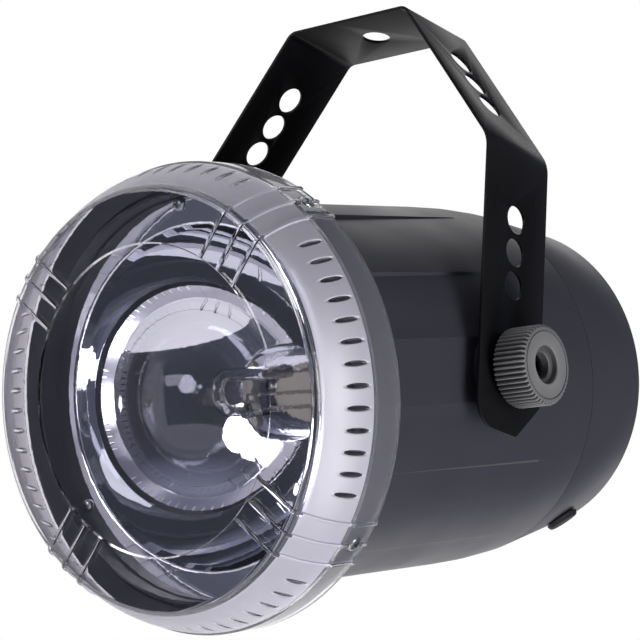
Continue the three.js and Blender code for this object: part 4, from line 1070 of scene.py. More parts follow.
@dataclass
class HousingShells(Assembly):
    """The barrel with its stepped panels, the rear cone that closes it, and the feet.

    The vents' shares are their pitch, height and length as parts of the back's radius. The panels
    are angles on the right side, each with its share of the step's depth.
    """

    barrel_radius: float = 66.8
    barrel_bore: float = 62.9
    crease_radius: float = 65.4
    collar_radius: float = 77.2
    rim_bore: float = 67.4
    rim_radius: float = 70.3
    barrel_front: float = -73.3
    collar_front: float = -84.5
    rim_front: float = -87.6
    ledge: float = -79.0
    steps_end: float = 32.0
    turn_in: float = 47.0
    barrel_rear: float = 61.4
    step_depth: float = 1.8
    rim_lip: float = 0.9
    rim_slope: float = 5.4
    crease_ease: float = 0.3
    back: float = REAR_BACK
    back_radius: float = 58.3
    wall: float = 2.5
    boss_radius: float = 13.0
    boss_end: float = 68.35
    boss_depth: float = 14
    insert_radius: float = 6.3
    spigot_wall: float = 2
    spigot_length: float = 6.5
    screw_inset: float = 12.9
    recess_floor: float = 4.6
    tube_radius: float = 5.6
    recess_radius: float = 4
    shank_radius: float = 1.9
    vents: int = 6
    vent_start: float = 0.034
    vent_shares: tuple[float, float, float] = (0.103, 0.041, 0.79)
    shaft_hole: float = 3.8
    gland_hole: float = 6.3
    foot_radius: float = 6.5
    foot_height: float = 2
    foot_from_back: float = 18
    foot_angle: float = 27
    panels: tuple[Point, ...] = (
        (90, 0), (62, 0), (61.2, 1), (32.5, 0), (31.7, 1), (15, 1), (10.6, 0), (-8.8, 0),
        (-13, 1), (-28.6, 0), (-29.4, 1), (-59.2, 0), (-60, 0.7), (-90, 0),
    )  # fmt: skip

    def stations(self) -> list[Point]:
        """Angles all round the barrel, each with its share of the step's depth."""
        side: list[Point] = []
        for (start, depth), (end, next_depth) in zip(self.panels, self.panels[1:]):
            count = max(1, round((start - end) / 2.5))
            for k in range(count):
                share = k / count
                side.append((start + (end - start) * share, depth + (next_depth - depth) * share))
        mirrored = [(-180 - angle, depth) for angle, depth in side[1:]]
        return [*side, self.panels[-1], *reversed(mirrored)]

    def panel_loop(self) -> list[Vector]:
        """The stepped section at the barrel's front."""
        top, bottom = self.panels[6][0], self.panels[7][0]
        half = (top - bottom) / 2
        loop = []
        for degrees, depth in self.stations():
            rise = -180 - degrees if degrees < -90 else degrees
            off = abs(rise - (top + bottom) / 2)
            flat = 1 - math.cos(math.radians(half)) / math.cos(math.radians(off)) if off < half else 0
            radius = self.barrel_radius * (1 - flat) - self.step_depth * depth
            loop.append(polar(radius, degrees, self.barrel_front))
        return loop

    def barrel(self) -> None:
        """Draws the stepped section, then extrudes and sizes it along the barrel."""
        piece = ring_drawn("barrel", self.panel_loop())
        stages = [
            (self.barrel_radius, self.steps_end),
            (self.barrel_radius - self.crease_ease, self.turn_in),
            (self.crease_radius, self.barrel_rear),
            (self.barrel_bore, self.barrel_rear),
            (self.barrel_bore, self.ledge),
            (self.rim_bore, self.ledge),
            (self.rim_bore, self.rim_front),
            (self.rim_bore + self.rim_lip, self.rim_front),
            (self.rim_radius, self.rim_front + self.rim_slope),
            (self.rim_radius, self.collar_front),
            (self.collar_radius, self.collar_front),
            (self.collar_radius, self.barrel_front),
        ]
        lofted(piece, (self.barrel_radius, self.barrel_front), stages)
        bridged(piece, self.barrel_front)
        bosses, bores = [], []
        for out in (Vector((1, 0, 0)), Vector((-1, 0, 0))):
            inner = self.boss_end - self.boss_depth
            boss = rod("boss", self.boss_radius, inner, self.boss_end, 64)
            bore = rod("bore", self.insert_radius, inner - 2, self.boss_end + 2, 48)
            bosses.append(moved(boss, facing(Vector(), out)))
            bores.append(moved(bore, facing(Vector(), out)))
        worked(piece, bosses, "UNION")
        worked(piece, bores, "DIFFERENCE")
        eased(piece, 0.3, 2, 9)
        self.set_down(piece, SATIN_ABS, "shell_plastic", Body.HOUSING, ["barrel_shell"])

    def cone_radius(self, y: float) -> float:
        """Outer radius of the rear cone."""
        share = min(max((y - self.barrel_rear) / (self.back - self.barrel_rear), 0), 1)
        return self.crease_radius + (self.back_radius - self.crease_radius) * share

    def rear_cone(self) -> None:
        """Turns the cone and opens its vents, screw recesses and holes."""
        front = self.barrel_rear + SEAT_GAP
        spigot = self.barrel_bore - SEAT_GAP
        outline = rounded(
            [
                (self.cone_radius(front), front),
                (self.back_radius, self.back, 1.5),
                (0, self.back),
                (0, self.back - self.wall),
                (self.back_radius - self.wall, self.back - self.wall, 2),
                (spigot - self.spigot_wall, front + 2),
                (spigot - self.spigot_wall, self.barrel_rear - self.spigot_length),
                (spigot, self.barrel_rear - self.spigot_length),
                (spigot, front),
            ]
        )
        piece = turned("rear_cone", outline, 144)
        circle, floor = self.barrel_bore - self.screw_inset, self.barrel_rear + self.recess_floor
        tubes, cuts = [], []
        for angle in CORNER_ANGLES:
            at = facing(polar(circle, angle), REARWARD)
            tubes.append(moved(rod("tube", self.tube_radius, floor - 2.5, self.back - 1, 40), at))
            cuts.append(moved(rod("recess", self.recess_radius, floor, self.back + 2, 40), at))
            cuts.append(moved(rod("hole", self.shank_radius, floor - 4, floor + 1, 24), at))
        pitch, height, length = (share * self.back_radius for share in self.vent_shares)
        for i in range(self.vents):
            low = self.vent_start * self.back_radius + i * pitch
            middle, end, half = low + height / 2, length / 2 - height / 2, height / 2
            slot = [
                Vector((x, self.back - 5, middle)) + half * way(start + 180 * k / 8)
                for x, start in ((end, -90), (-end, 90))
                for k in range(9)
            ]
            cuts.append(extruded("vent", slot, Vector((0, 8, 0))))
        for x, radius in ((CONTROL_PLACE, self.shaft_hole), (-CONTROL_PLACE, self.gland_hole)):
            at = facing(Vector((x, 0, -CONTROL_PLACE)), REARWARD)
            cuts.append(moved(rod("hole", radius, self.back - 4, self.back + 2, 48), at))
        worked(piece, tubes, "UNION")
        worked(piece, cuts, "DIFFERENCE")
        eased(piece, 0.3, 2, 28)
        self.set_down(piece, SATIN_ABS, "shell_plastic", Body.HOUSING, ["rear_shell"])

    def feet(self) -> None:
        """Turns one rubber foot and sets a copy on each side of the keel."""
        centre, radius, height = self.back - self.foot_from_back, self.foot_radius, self.foot_height
        slope = math.atan2(self.cone_radius(centre - radius) - self.cone_radius(centre + radius), 2 * radius)
        rim = [(0, 0), (radius, 0, 0.3), (radius - 0.6, height, 1.2), (0, height)]
        foot = eased(turned("foot", rounded(rim, math.radians(15)), 48), 0)
        for side, sign in (("right", 1), ("left", -1)):
            angle = -90 + sign * self.foot_angle
            square = way(angle) * math.cos(slope) + Vector((0, math.sin(slope), 0))
            seat = facing(polar(self.cone_radius(centre) + SEAT_GAP, angle, centre), square)
            piece = copied(foot, f"{side}_foot", seat)
            self.set_down(piece, RUBBER, "rubber", Body.HOUSING, [f"{side}_rear_foot"])
        bpy.data.objects.remove(foot)

    def build(self) -> None:
        """Makes the barrel, the cone and the feet."""
        self.barrel()
        self.rear_cone()
        self.feet()


@dataclass
class FrontCover(Assembly):
    """The clear drum over the front, with its ribs and dimples."""

    radius: float = 80
    front: float = -105
    rear: float = -72.6
    band_front: float = -84.4
    wall: float = 2.2
    lip_radius: float = 72
    lip_round: float = 2.8
    window_radius: float = 52.6
    recess: float = 0.6
    bulge: float = 1.2
    rib_spacing: float = 8.3
    rib_width: float = 1.3
    rib_height: float = 0.8
    dimple_pitch: float = 360 / 68
    dimple_count: int = 13
    dimple_length: float = 12.4
    dimple_width: float = 2.3
    dimple_depth: float = 0.9
    dimple_share: float = 0.34

    def side_wall(self, count: int, proud: float = 0) -> list[Point]:
        """Points of the side wall from the band to the lip.

        Args:
            count: How many stretches it has.
            proud: How far outside the wall the points lie.

        Returns:
            Points as (radius, y).
        """
        start = Vector((self.radius - 0.7, self.band_front - 0.7))
        end = Vector((self.lip_radius, self.front + self.lip_round))
        along = end - start
        square = Vector((-along.y, along.x)).normalized()
        points = []
        for i in range(count + 1):
            share = i / count
            bow = self.bulge * 4 * share * (1 - share) + proud
            points.append(tuple(start + along * share + square * bow))
        return points

    def skin(self, count: int, proud: float = 0) -> list[Point]:
        """The outer outline from the band's rear edge to the window."""
        r, step = self.lip_round, 6
        lip = [
            (
                self.lip_radius - r + (r + proud) * math.cos(math.radians(90 * k / step)),
                self.front + r - (r + proud) * math.sin(math.radians(90 * k / step)),
            )
            for k in range(1, step + 1)
        ]
        return [
            (self.radius + proud, self.rear),
            (self.radius + proud, self.band_front),
            *self.side_wall(count, proud),
            *lip,
            (self.window_radius, self.front - proud),
        ]

    def drum(self) -> Piece:
        """Turns the drum and cuts the dimples into its side wall."""
        inside = self.front + self.wall
        outline = [
            *self.skin(24),
            (self.window_radius - self.recess, self.front + self.recess),
            (0, self.front + self.recess),
            (0, inside),
            (self.lip_radius - self.wall, inside),
            (self.radius - self.wall, self.band_front),
            (self.radius - self.wall, self.rear),
        ]
        return worked(turned("cover", outline, 272), self.dimples(), "DIFFERENCE")

    def dimples(self) -> list[Piece]:
        """Spindles that cut the dimples, set round the side wall."""
        stretches, rings = 100, 8
        wall = [Vector(p) for p in self.side_wall(stretches)]
        near = round(stretches * self.dimple_share)
        along = (wall[near + 1] - wall[near - 1]).normalized()
        square = Vector((-along.y, along.x))
        depth = self.dimple_depth
        radius = (self.dimple_width**2 / 4 + depth**2) / (2 * depth)
        shares = [k / rings for k in range(-rings, rings + 1)]
        rounds = [
            ((radius - depth / 2 * share * share) * math.sqrt(1 - share**10), self.dimple_length / 2 * share)
            for share in shares
        ]
        spindle = turned("spindle", rounds, 16)
        middle = wall[near] + square * (radius - depth)
        lean = math.atan2(along.x, along.y)
        seat = Matrix.Translation(Vector((*middle, 0)) * MM) @ Matrix.Rotation(-lean, 4, "Z")
        moved(spindle, seat)
        made = []
        for cluster in CLUSTER_ANGLES:
            for k in range(self.dimple_count):
                angle = cluster + 45 + (k - self.dimple_count // 2) * self.dimple_pitch
                made.append(copied(spindle, "dimple", Matrix.Rotation(-math.radians(angle), 4, "Y")))
        bpy.data.objects.remove(spindle)
        return made

    def ribs(self) -> list[Piece]:
        """Three straight ribs in each of the four clusters."""
        made = []
        for offset in (-self.rib_spacing, 0, self.rib_spacing):
            section = [*self.skin(8, self.rib_height), *reversed(self.skin(8, -self.wall / 2))]
            side = [Vector((math.sqrt(r**2 - offset**2), y, offset - self.rib_width / 2)) for r, y in section]
            rib = extruded("rib", side, Vector((0, 0, self.rib_width)))
            eased(rib, 0.2, 2)
            for angle in CLUSTER_ANGLES:
                made.append(copied(rib, "rib", Matrix.Rotation(-math.radians(angle), 4, "Y")))
            bpy.data.objects.remove(rib)
        return made

    def build(self) -> None:
        """Makes the cover, with its ribs and the holes for its screws."""
        piece = self.drum()
        worked(piece, self.ribs(), "UNION")
        holes = []
        for angle in CLUSTER_ANGLES:
            seat = facing(polar(self.radius - self.wall / 2, angle, self.rear - 5.9), way(angle))
            holes.append(moved(rod("hole", 3.0, 0, 4, 32), seat))
            holes.append(moved(rod("shank", 1.7, -3, 1, 24), seat))
        worked(piece, holes, "DIFFERENCE")
        eased(piece, 0, angle=32)
        self.set_down(piece, CLEAR_PC, "clear_plastic", Body.HOUSING, ["front_cover"])


@dataclass
class Reflector(Assembly):
    """The spun mirror dish with its flat flange."""

    radius: float = 67.0
    flange_front: float = -80.5
    sheet: float = 1.2
    flange: float = 10
    rim_drop: float = 4.1
    depth_share: float = 0.684
    neck_radius: float = 16
    neck_draft: float = 0.6
    neck_edge: float = 1.2
    neck_depth: float = 10
    hole_radius: float = 10.5
    edge_radius: float = 1.2

    def curve(self, count: int = 40) -> list[Point]:
        """The bowl, a part of a sphere, from the rim to the neck."""
        rim_radius, rim = self.radius - self.flange, self.flange_front + self.rim_drop
        depth = self.depth_share * rim_radius
        sphere = (rim_radius**2 + depth**2) / (2 * depth)
        centre = rim + depth - sphere
        start, end = math.asin(rim_radius / sphere), math.asin(self.neck_radius / sphere)
        points = []
        for i in range(count + 1):
            angle = start + (end - start) * i / count
            points.append((sphere * math.sin(angle), centre + sphere * math.cos(angle)))
        return points

    def build(self) -> None:
        """Turns the bowl and its neck."""
        curve = self.curve()
        rim_radius, rim = self.radius - self.flange, self.flange_front + self.rim_drop
        floor = rim + self.depth_share * rim_radius + self.neck_depth
        front = [
            (self.radius, self.flange_front),
            (self.radius - self.flange + self.edge_radius, self.flange_front, self.edge_radius),
            *curve[:-1],
            (*curve[-1], self.neck_edge),
            (self.neck_radius - self.neck_draft, floor),
            (self.hole_radius, floor),
        ]
        back = inset_path([p[:2] for p in front], -self.sheet)
        outline = rounded(
            [
                *front,
                (self.hole_radius, floor + self.sheet),
                *reversed(back[1:-1]),
                (self.radius, self.flange_front + self.sheet),
            ],
            math.radians(8),
        )
        piece = eased(turned("reflector_dish", outline, 256), 0, angle=40)
        self.set_down(piece, MIRROR, "polished_aluminium", Body.HOUSING, ["reflector"])


@dataclass
class Lamp(Assembly):
    """The U-shaped flash tube with its wires and base."""

    tube_radius: float = 2.4
    bore: float = 1.6
    half_spread: float = 6.2
    rise: float = 1.2
    front: float = -64.1
    floor: float = -27.4
    long_leg: float = 9
    short_leg: float = 23

    def tube(self) -> None:
        """Extrudes a ring along one leg, round the bend and back along the other."""
        start = self.floor - self.short_leg
        rings = []
        for radius in (self.tube_radius, self.bore):
            bpy.ops.object.select_all(action="DESELECT")
            bpy.ops.mesh.primitive_circle_add(
                vertices=32,
                radius=radius * MM,
                fill_type="NOTHING",
                location=(0, start * MM, (self.rise - self.half_spread) * MM),
                rotation=(math.pi / 2, 0, 0),
            )
            bpy.ops.object.transform_apply(location=True, rotation=True, scale=True)
            rings.append(bpy.context.object)
        piece = joined(rings)
        piece.name = "tube"
        into("EDIT")
        bpy.ops.mesh.select_mode(type="EDGE")
        pick_all()
        bpy.ops.mesh.bridge_edge_loops()
        bpy.ops.mesh.select_mode(type="FACE")
        pick_all()
        grow((0, (self.front - start) * MM, 0))
        centre = (0, self.front * MM, self.rise * MM)
        bpy.ops.mesh.spin(steps=20, angle=math.pi, center=centre, axis=(1, 0, 0))
        grow((0, (self.floor - self.long_leg - self.front) * MM, 0))
        mend()
        into("OBJECT")
        eased(piece, 0.15, 2, 40)
        self.set_down(piece, QUARTZ, "tube_glass", Body.HOUSING, ["flash_tube"])

    def build(self) -> None:
        """Makes the tube, and paints the wires and the base."""
        self.tube()
        self.paint_nodes(NICKEL, "anode_electrode", "cathode_electrode", "trigger_wire", "trigger_eyelet")
        self.paint_nodes(STEATITE, "lamp_base")


@dataclass
class RibbedGrip:
    """A moulded grip with ridges, modelled along +Y.

    Attributes:
        ridges: How many ridges it has.
        ridge_depth: Depth of the grooves between them.
        profile: Radius and height of each ring.
        grooved: How many of the rings have the grooves.
        bore: Steps of the hole in its outer face, as (radius, height).
        hole: Radius of the hole that goes right through.
        ridge_points: Points in a ridge and its groove.
        ridge_power: How much narrower a groove is than a ridge.
    """

    ridges: int
    ridge_depth: float
    profile: Sequence[Point]
    grooved: int
    bore: Sequence[Point]
    hole: float
    ridge_points: int = 6
    ridge_power: float = 1.5

    def make(self, name: str) -> Piece:
        """Extrudes a toothed ring up the grip and down its bore.

        Args:
            name: The piece's name.

        Returns:
            The grip.
        """
        (radius, low), *rest = self.profile
        count = self.ridge_points * self.ridges
        loop = []
        for i in range(count):
            swing = 0.5 - 0.5 * math.cos(math.tau * i / self.ridge_points)
            loop.append(polar(radius - self.ridge_depth * swing**self.ridge_power, 360 * i / count, low))
        piece = ring_drawn(name, loop)
        radius, y = lofted(piece, (radius, low), [*rest, *self.bore], self.grooved - 1)
        grow((0, 0, 0))
        scale = self.hole / radius
        bpy.ops.transform.resize(value=(scale, 1, scale), center_override=(0, y * MM, 0))
        grow((0, (low - y) * MM, 0))
        bridged(piece, low)
        return piece


@dataclass
class TiltClamps(Assembly):
    """The knob, screw, washer and pad on each end of the tilt axis."""

    knob_inner: float = 75.06
    radius: float = 14
    length: float = 12.8

    def build(self) -> None:
        """Models one knob and sets a copy on each side."""
        r, h = self.radius, self.length
        grip = RibbedGrip(
            ridges=48,
            ridge_depth=1.1,
            profile=[
                (r - 0.4, 0),
                (r, 0.5),
                (r, h - 1.1),
                (r - 0.3, h - 0.5),
                (r - 1.0, h - 0.1),
                (r - 1.5, h),
                (r - 2.0, h),
                (r - 2.1, h - 0.25),
                (r - 2.4, h - 0.25),
                (r - 2.5, h),
            ],
            grooved=4,
            bore=[(6.9, h), (6.5, h - 0.4), (6.4, h - 2.2), (5.0, h - 2.2), (4.6, h - 2.6), (4.6, 3.4)],
            hole=3.3,
        )
        knob = eased(grip.make("knob"), 0, angle=40)
        sides = ((1, "right", Body.RIGHT_CLAMP), (-1, "left", Body.LEFT_CLAMP))
        for sign, side, body in sides:
            seat = facing(Vector((sign * self.knob_inner, 0, 0)), Vector((sign, 0, 0)))
            piece = copied(knob, f"{side}_knob", seat)
            self.set_down(piece, KNOB_NYLON, "knob_plastic", body, [f"{side}_clamp_knob"])
            self.paint_nodes(BLACK_STEEL, f"{side}_clamp_screw")
            self.paint_nodes(ZINC_STEEL, f"{side}_washer")
            self.paint_nodes(RUBBER, f"{side}_friction_pad")
            self.paint_nodes(BRASS, f"{side}_threaded_insert")
        bpy.data.objects.remove(knob)


@dataclass
class RearControls(Assembly):
    """The flash-rate knob and the cable gland on the rear wall."""

    skirt_radius: float = 9
    skirt_height: float = 4.2
    grip_radius: float = 7.6
    knob_height: float = 13
    knob_bore: Point = (6.4, 8.2)
    flutes: int = 18
    flute_radius: float = 0.9
    flute_circle: float = 8.1
    gland_bore: float = 3
    thread: Point = (6, 9)
    flange: Point = (9.2, 4.7)
    dome_radius: float = 7.6
    dome_height: float = 20
    flat_radius: float = 7.9

    @staticmethod
    def plate(name: str, xs: Point, y: float, zs: Point, depth: float) -> Piece:
        """A block over a rectangle, from a height up.

        Args:
            name: Its name.
            xs: Its two ends along X.
            y: Where it starts.
            zs: Its two ends along Z.
            depth: Its depth along Y.

        Returns:
            The block.
        """
        corners = ((xs[0], zs[0]), (xs[1], zs[0]), (xs[1], zs[1]), (xs[0], zs[1]))
        return extruded(name, [Vector((x, y, z)) for x, z in corners], Vector((0, depth, 0)))

    def speed_knob(self) -> None:
        """Models the flash-rate knob, with its pointer line cut in."""
        low = REAR_BACK + 2 * SEAT_GAP
        top = low + self.knob_height
        bore, ceiling = self.knob_bore
        outline = [
            (bore, low),
            (self.skirt_radius, low, 0.4),
            (self.skirt_radius, low + self.skirt_height - 0.8, 0.8),
            (self.grip_radius, low + self.skirt_height),
            (self.grip_radius - 0.4, top, 1.0),
            (0, top),
            (0, low + ceiling),
            (bore, low + ceiling),
        ]
        piece = turned("flash_rate_knob", rounded(outline), 108)
        cuts = []
        for i in range(self.flutes):
            seat = facing(polar(self.flute_circle, 360 / self.flutes * i), REARWARD)
            flute = rod("flute", self.flute_radius, low + self.skirt_height + 0.4, top + 2, 16)
            cuts.append(moved(flute, seat))
        cuts.append(self.plate("pointer", (-0.5, 0.5), top - 0.5, (0.8, 8), 3))
        worked(piece, cuts, "DIFFERENCE")
        eased(piece, 0.15, 2)
        moved(piece, facing(Vector((CONTROL_PLACE, 0, -CONTROL_PLACE)), REARWARD))
        self.set_down(piece, KNOB_NYLON, "knob_plastic", Body.SPEED, ["speed_knob"])

    def gland(self) -> None:
        """Models the gland: a hexagonal flange and a domed nut with flats."""
        base = REAR_BACK + SEAT_GAP
        (thread, depth), (flange, thickness) = self.thread, self.flange
        outline = [
            (self.gland_bore, base - depth),
            (thread, base - depth, 0.5),
            (thread, base),
            (flange, base),
            (flange, base + thickness, 0.6),
            (self.dome_radius, base + thickness + 0.3),
            (self.dome_radius, base + self.dome_height - 6, 4.0),
            (self.gland_bore + 0.9, base + self.dome_height, 1.0),
            (self.gland_bore, base + self.dome_height),
        ]
        piece = turned("gland", rounded(outline), 72)
        flats = []
        for i in range(6):
            tool = self.plate("flat", (self.flat_radius, 12), base + 0.01, (-9, 9), 6)
            flats.append(moved(tool, Matrix.Rotation(math.radians(60 * i), 4, "Y")))
        worked(piece, flats, "DIFFERENCE")
        eased(piece, 0.2, 2)
        moved(piece, facing(Vector((-CONTROL_PLACE, 0, -CONTROL_PLACE)), REARWARD))
        self.set_down(piece, GLAND_NYLON, "gland_plastic", Body.HOUSING, ["cable_gland"])

    def build(self) -> None:
        """Makes the knob and the gland, and paints what carries them."""
        self.speed_knob()
        self.gland()
        self.paint_nodes(ZINC_STEEL, "speed_potentiometer", "speed_nut", "speed_shaft")
        self.paint_nodes(GLAND_NYLON, "gland_nut")


@dataclass
class Insides(Assembly):
    """Pieces that the shells hide: they stay as the CAD made them, each with its finish."""

    def build(self) -> None:
        """Paints them."""
        self.paint_nodes(LAMINATE, "circuit_board")
        self.paint_nodes(SLEEVE, "capacitor_1", "capacitor_2")
        self.paint_nodes(WINDING, "trigger_coil")
        self.paint_nodes(STEATITE, "power_resistor")
        self.paint_nodes(ZINC_STEEL, "board_fuse")
        self.paint_nodes(LEAD_RED, "anode_lead")
        self.paint_nodes(LEAD_BLACK, "cathode_lead", "supply_lead")
        self.paint_nodes(LEAD_WHITE, "trigger_lead")
        self.paint_nodes(LEAD_GREY, "control_lead")


@dataclass
class Screws(Assembly):
    """Pan-head screws with a cross recess, whose arms are given as shares of the head's radius."""

    cross: Point = (0.55, 0.16)
    reflector_circle: float = 65
    reflector_angles: tuple[float, ...] = (90, 210, 330)
    flange_front: float = -80.5
    cover_seat: float = 78.9
    cover_depth: float = -78.5
    rear_circle: float = 50.0
    rear_floor: float = 66.0

    def model(self, name: str, shank: float, length: float, head: float, height: float) -> Piece:
        """Turns a screw and presses its cross.

        Args:
            name: The piece's name.
            shank: Radius of the shank.
            length: Length under the head.
            head: Radius of the head.
            height: Height of the head.

        Returns:
            The screw, its head towards +Y.
        """
        outline = [
            (0, -length),
            (shank, -length, shank / 3),
            (shank, 0),
            (head, 0, 0.1),
            (head, height, height * 0.8),
            (0, height),
        ]
        piece = turned(name, rounded(outline), 40)
        arms = []
        for along, across in (self.cross, self.cross[::-1]):
            x, z = along * head, across * head
            plan = [Vector((i * x, height * 0.35, k * z)) for i, k in ((-1, -1), (1, -1), (1, 1), (-1, 1))]
            arms.append(extruded("arm", plan, Vector((0, height, 0))))
        worked(piece, arms, "DIFFERENCE")
        return eased(piece, 0, angle=35)

    def row(self, name: str, size: tuple[float, float, float, float], seats: Sequence[Matrix]) -> None:
        """Sets a copy of one screw on each seat.

        Args:
            name: The name that the screws share.
            size: Radius and length of the shank, then radius and height of the head.
            seats: Where they go.
        """
        model = self.model(name, *size)
        for i, seat in enumerate(seats, 1):
            piece = copied(model, f"{name}_head_{i}", seat)
            self.set_down(piece, ZINC_STEEL, "steel", Body.HOUSING, [f"{name}_{i}"])
        bpy.data.objects.remove(model)

    def build(self) -> None:
        """Sets the screws of the reflector, the cover and the rear cone."""
        ledge, floor = self.flange_front - SEAT_GAP, self.rear_floor + SEAT_GAP
        in_flange = [facing(polar(self.reflector_circle, a, ledge), FORWARD) for a in self.reflector_angles]
        seat = self.cover_seat + SEAT_GAP
        in_cover = [facing(polar(seat, a, self.cover_depth), way(a)) for a in CLUSTER_ANGLES]
        in_cone = [facing(polar(self.rear_circle, a, floor), REARWARD) for a in CORNER_ANGLES]
        self.row("reflector_screw", (1.0, 5.5, 2.1, 1.3), in_flange)
        self.row("cover_screw", (1.4, 5.0, 2.7, 1.5), in_cover)
        self.row("rear_screw", (1.6, 17.0, 3.4, 2.4), in_cone)


# Studio

WHITE = "#ffffff"


@dataclass(frozen=True)
class PhotoCamera:
    """The photograph's camera, given in the housing's frame.

    Attributes:
        distance: From the tilt axis's centre, in millimetres.
        azimuth: From -Y towards +X, in degrees.
        elevation: In degrees.
        roll: In degrees.
        focal_px: Focal length in pixels.
        centre_px: Where the tilt axis's centre falls in the picture.
        size_px: The picture's width and height.
    """

    distance: float = 948.71
    azimuth: float = 38.776
    elevation: float = -1.873
    roll: float = -5.599
    focal_px: float = 2615.14
    centre_px: Point = (347.80, 389.31)
    size_px: int = 640

    def build(self) -> Piece:
        """Adds the camera and makes it the scene's own."""
        az, el, roll = (math.radians(a) for a in (self.azimuth, self.elevation, self.roll))
        back = Vector((math.sin(az) * math.cos(el), -math.cos(az) * math.cos(el), math.sin(el)))
        level = Vector((math.cos(az), math.sin(az), 0))
        rise = back.cross(level)
        right = level * math.cos(roll) + rise * math.sin(roll)
        up = -level * math.sin(roll) + rise * math.cos(roll)
        across, down = (self.size_px / 2 - place for place in self.centre_px)
        ahead = -back * self.focal_px + right * across - up * down
        z_axis = -ahead.normalized()
        x_axis = (right - z_axis * right.dot(z_axis)).normalized()
        turn = Matrix((x_axis, z_axis.cross(x_axis), z_axis)).transposed().to_4x4()
        data = bpy.data.cameras.new("photo_camera")
        data.sensor_width = 36
        data.lens = data.sensor_width * self.focal_px / self.size_px
        data.clip_end = 50
        camera = bpy.data.objects.new("photo_camera", data)
        bpy.context.collection.objects.link(camera)
        camera.matrix_world = HOUSING @ Matrix.Translation(back * self.distance * MM) @ turn
        bpy.context.scene.camera = camera
        return camera


def direction(azimuth: float, elevation: float) -> Vector:
    """The way to a place round the housing, from -Y towards +X and upwards, in degrees."""
    az, el = math.radians(azimuth), math.radians(elevation)
    return Vector((math.sin(az) * math.cos(el), -math.cos(az) * math.cos(el), math.sin(el)))


def looking_in(way_to: Vector, place: Vector) -> Matrix:
    """Stands a lamp or a card at a place, its face towards the middle.

    Args:
        way_to: The way from the middle to the place.
        place: The place in the housing's frame, in metres.

    Returns:
        The matrix.
    """
    return HOUSING @ Matrix.Translation(place) @ way_to.to_track_quat("Z", "Y").to_matrix().to_4x4()


def off_stage(piece: Piece) -> None:
    """Hides a stage piece from everything but gloss and clear plastic.

    Args:
        piece: The piece.
    """
    piece.visible_camera = False
    piece.visible_diffuse = False
    piece.visible_shadow = False


@dataclass(frozen=True)
class SoftBox:
    """A large soft lamp that looks at the housing.

    Attributes:
        name: Its name.
        azimuth: Where it stands, from -Y towards +X, in degrees.
        elevation: Its height above the housing, in degrees.
        distance: In metres.
        size: Width and height in metres.
        power: In watts.
    """

    name: str
    azimuth: float
    elevation: float
    distance: float
    size: Point
    power: float

    def build(self) -> None:
        """Adds the lamp."""
        way_to = direction(self.azimuth, self.elevation)
        data = bpy.data.lights.new(self.name, "AREA")
        data.shape = "RECTANGLE"
        data.size, data.size_y = self.size
        data.energy = self.power
        lamp = bpy.data.objects.new(self.name, data)
        bpy.context.collection.objects.link(lamp)
        lamp.visible_glossy = False
        lamp.matrix_world = looking_in(way_to, way_to * self.distance)


@dataclass(frozen=True)
class Card:
    """A lit card that only gloss and clear plastic show.

    Attributes:
        name: Its name.
        azimuth: Where it stands, from -Y towards +X, in degrees.
        elevation: Its height above the tent's middle, in degrees.
        size: Width and height in metres.
        strength: Its brightness, where 1 is white.
        corners: How many corners it has.
    """

    name: str
    azimuth: float
    elevation: float
    size: Point
    strength: float
    corners: int = 4

    def build(self, centre: Vector, distance: float) -> None:
        """Draws the card.

        Args:
            centre: The tent's middle, in the housing's frame.
            distance: From there to the card, in metres.
        """
        way_to = direction(self.azimuth, self.elevation)
        half = math.pi / self.corners
        bpy.ops.object.select_all(action="DESELECT")
        bpy.ops.mesh.primitive_circle_add(
            vertices=self.corners, radius=0.5 / math.cos(half), fill_type="NGON", rotation=(0, 0, half)
        )
        card = bpy.context.object
        card.name = self.name
        bpy.ops.object.transform_apply(location=False, rotation=True, scale=False)
        moved(card, looking_in(way_to, centre + way_to * distance) @ Matrix.Diagonal((*self.size, 1, 1)))
        material, tree = blank_material(self.name)
        glow = add_node(tree, "ShaderNodeEmission", {"Color": linear(WHITE), "Strength": self.strength})
        close_tree(tree, glow.outputs["Emission"])
        card.data.materials.append(material)
        off_stage(card)


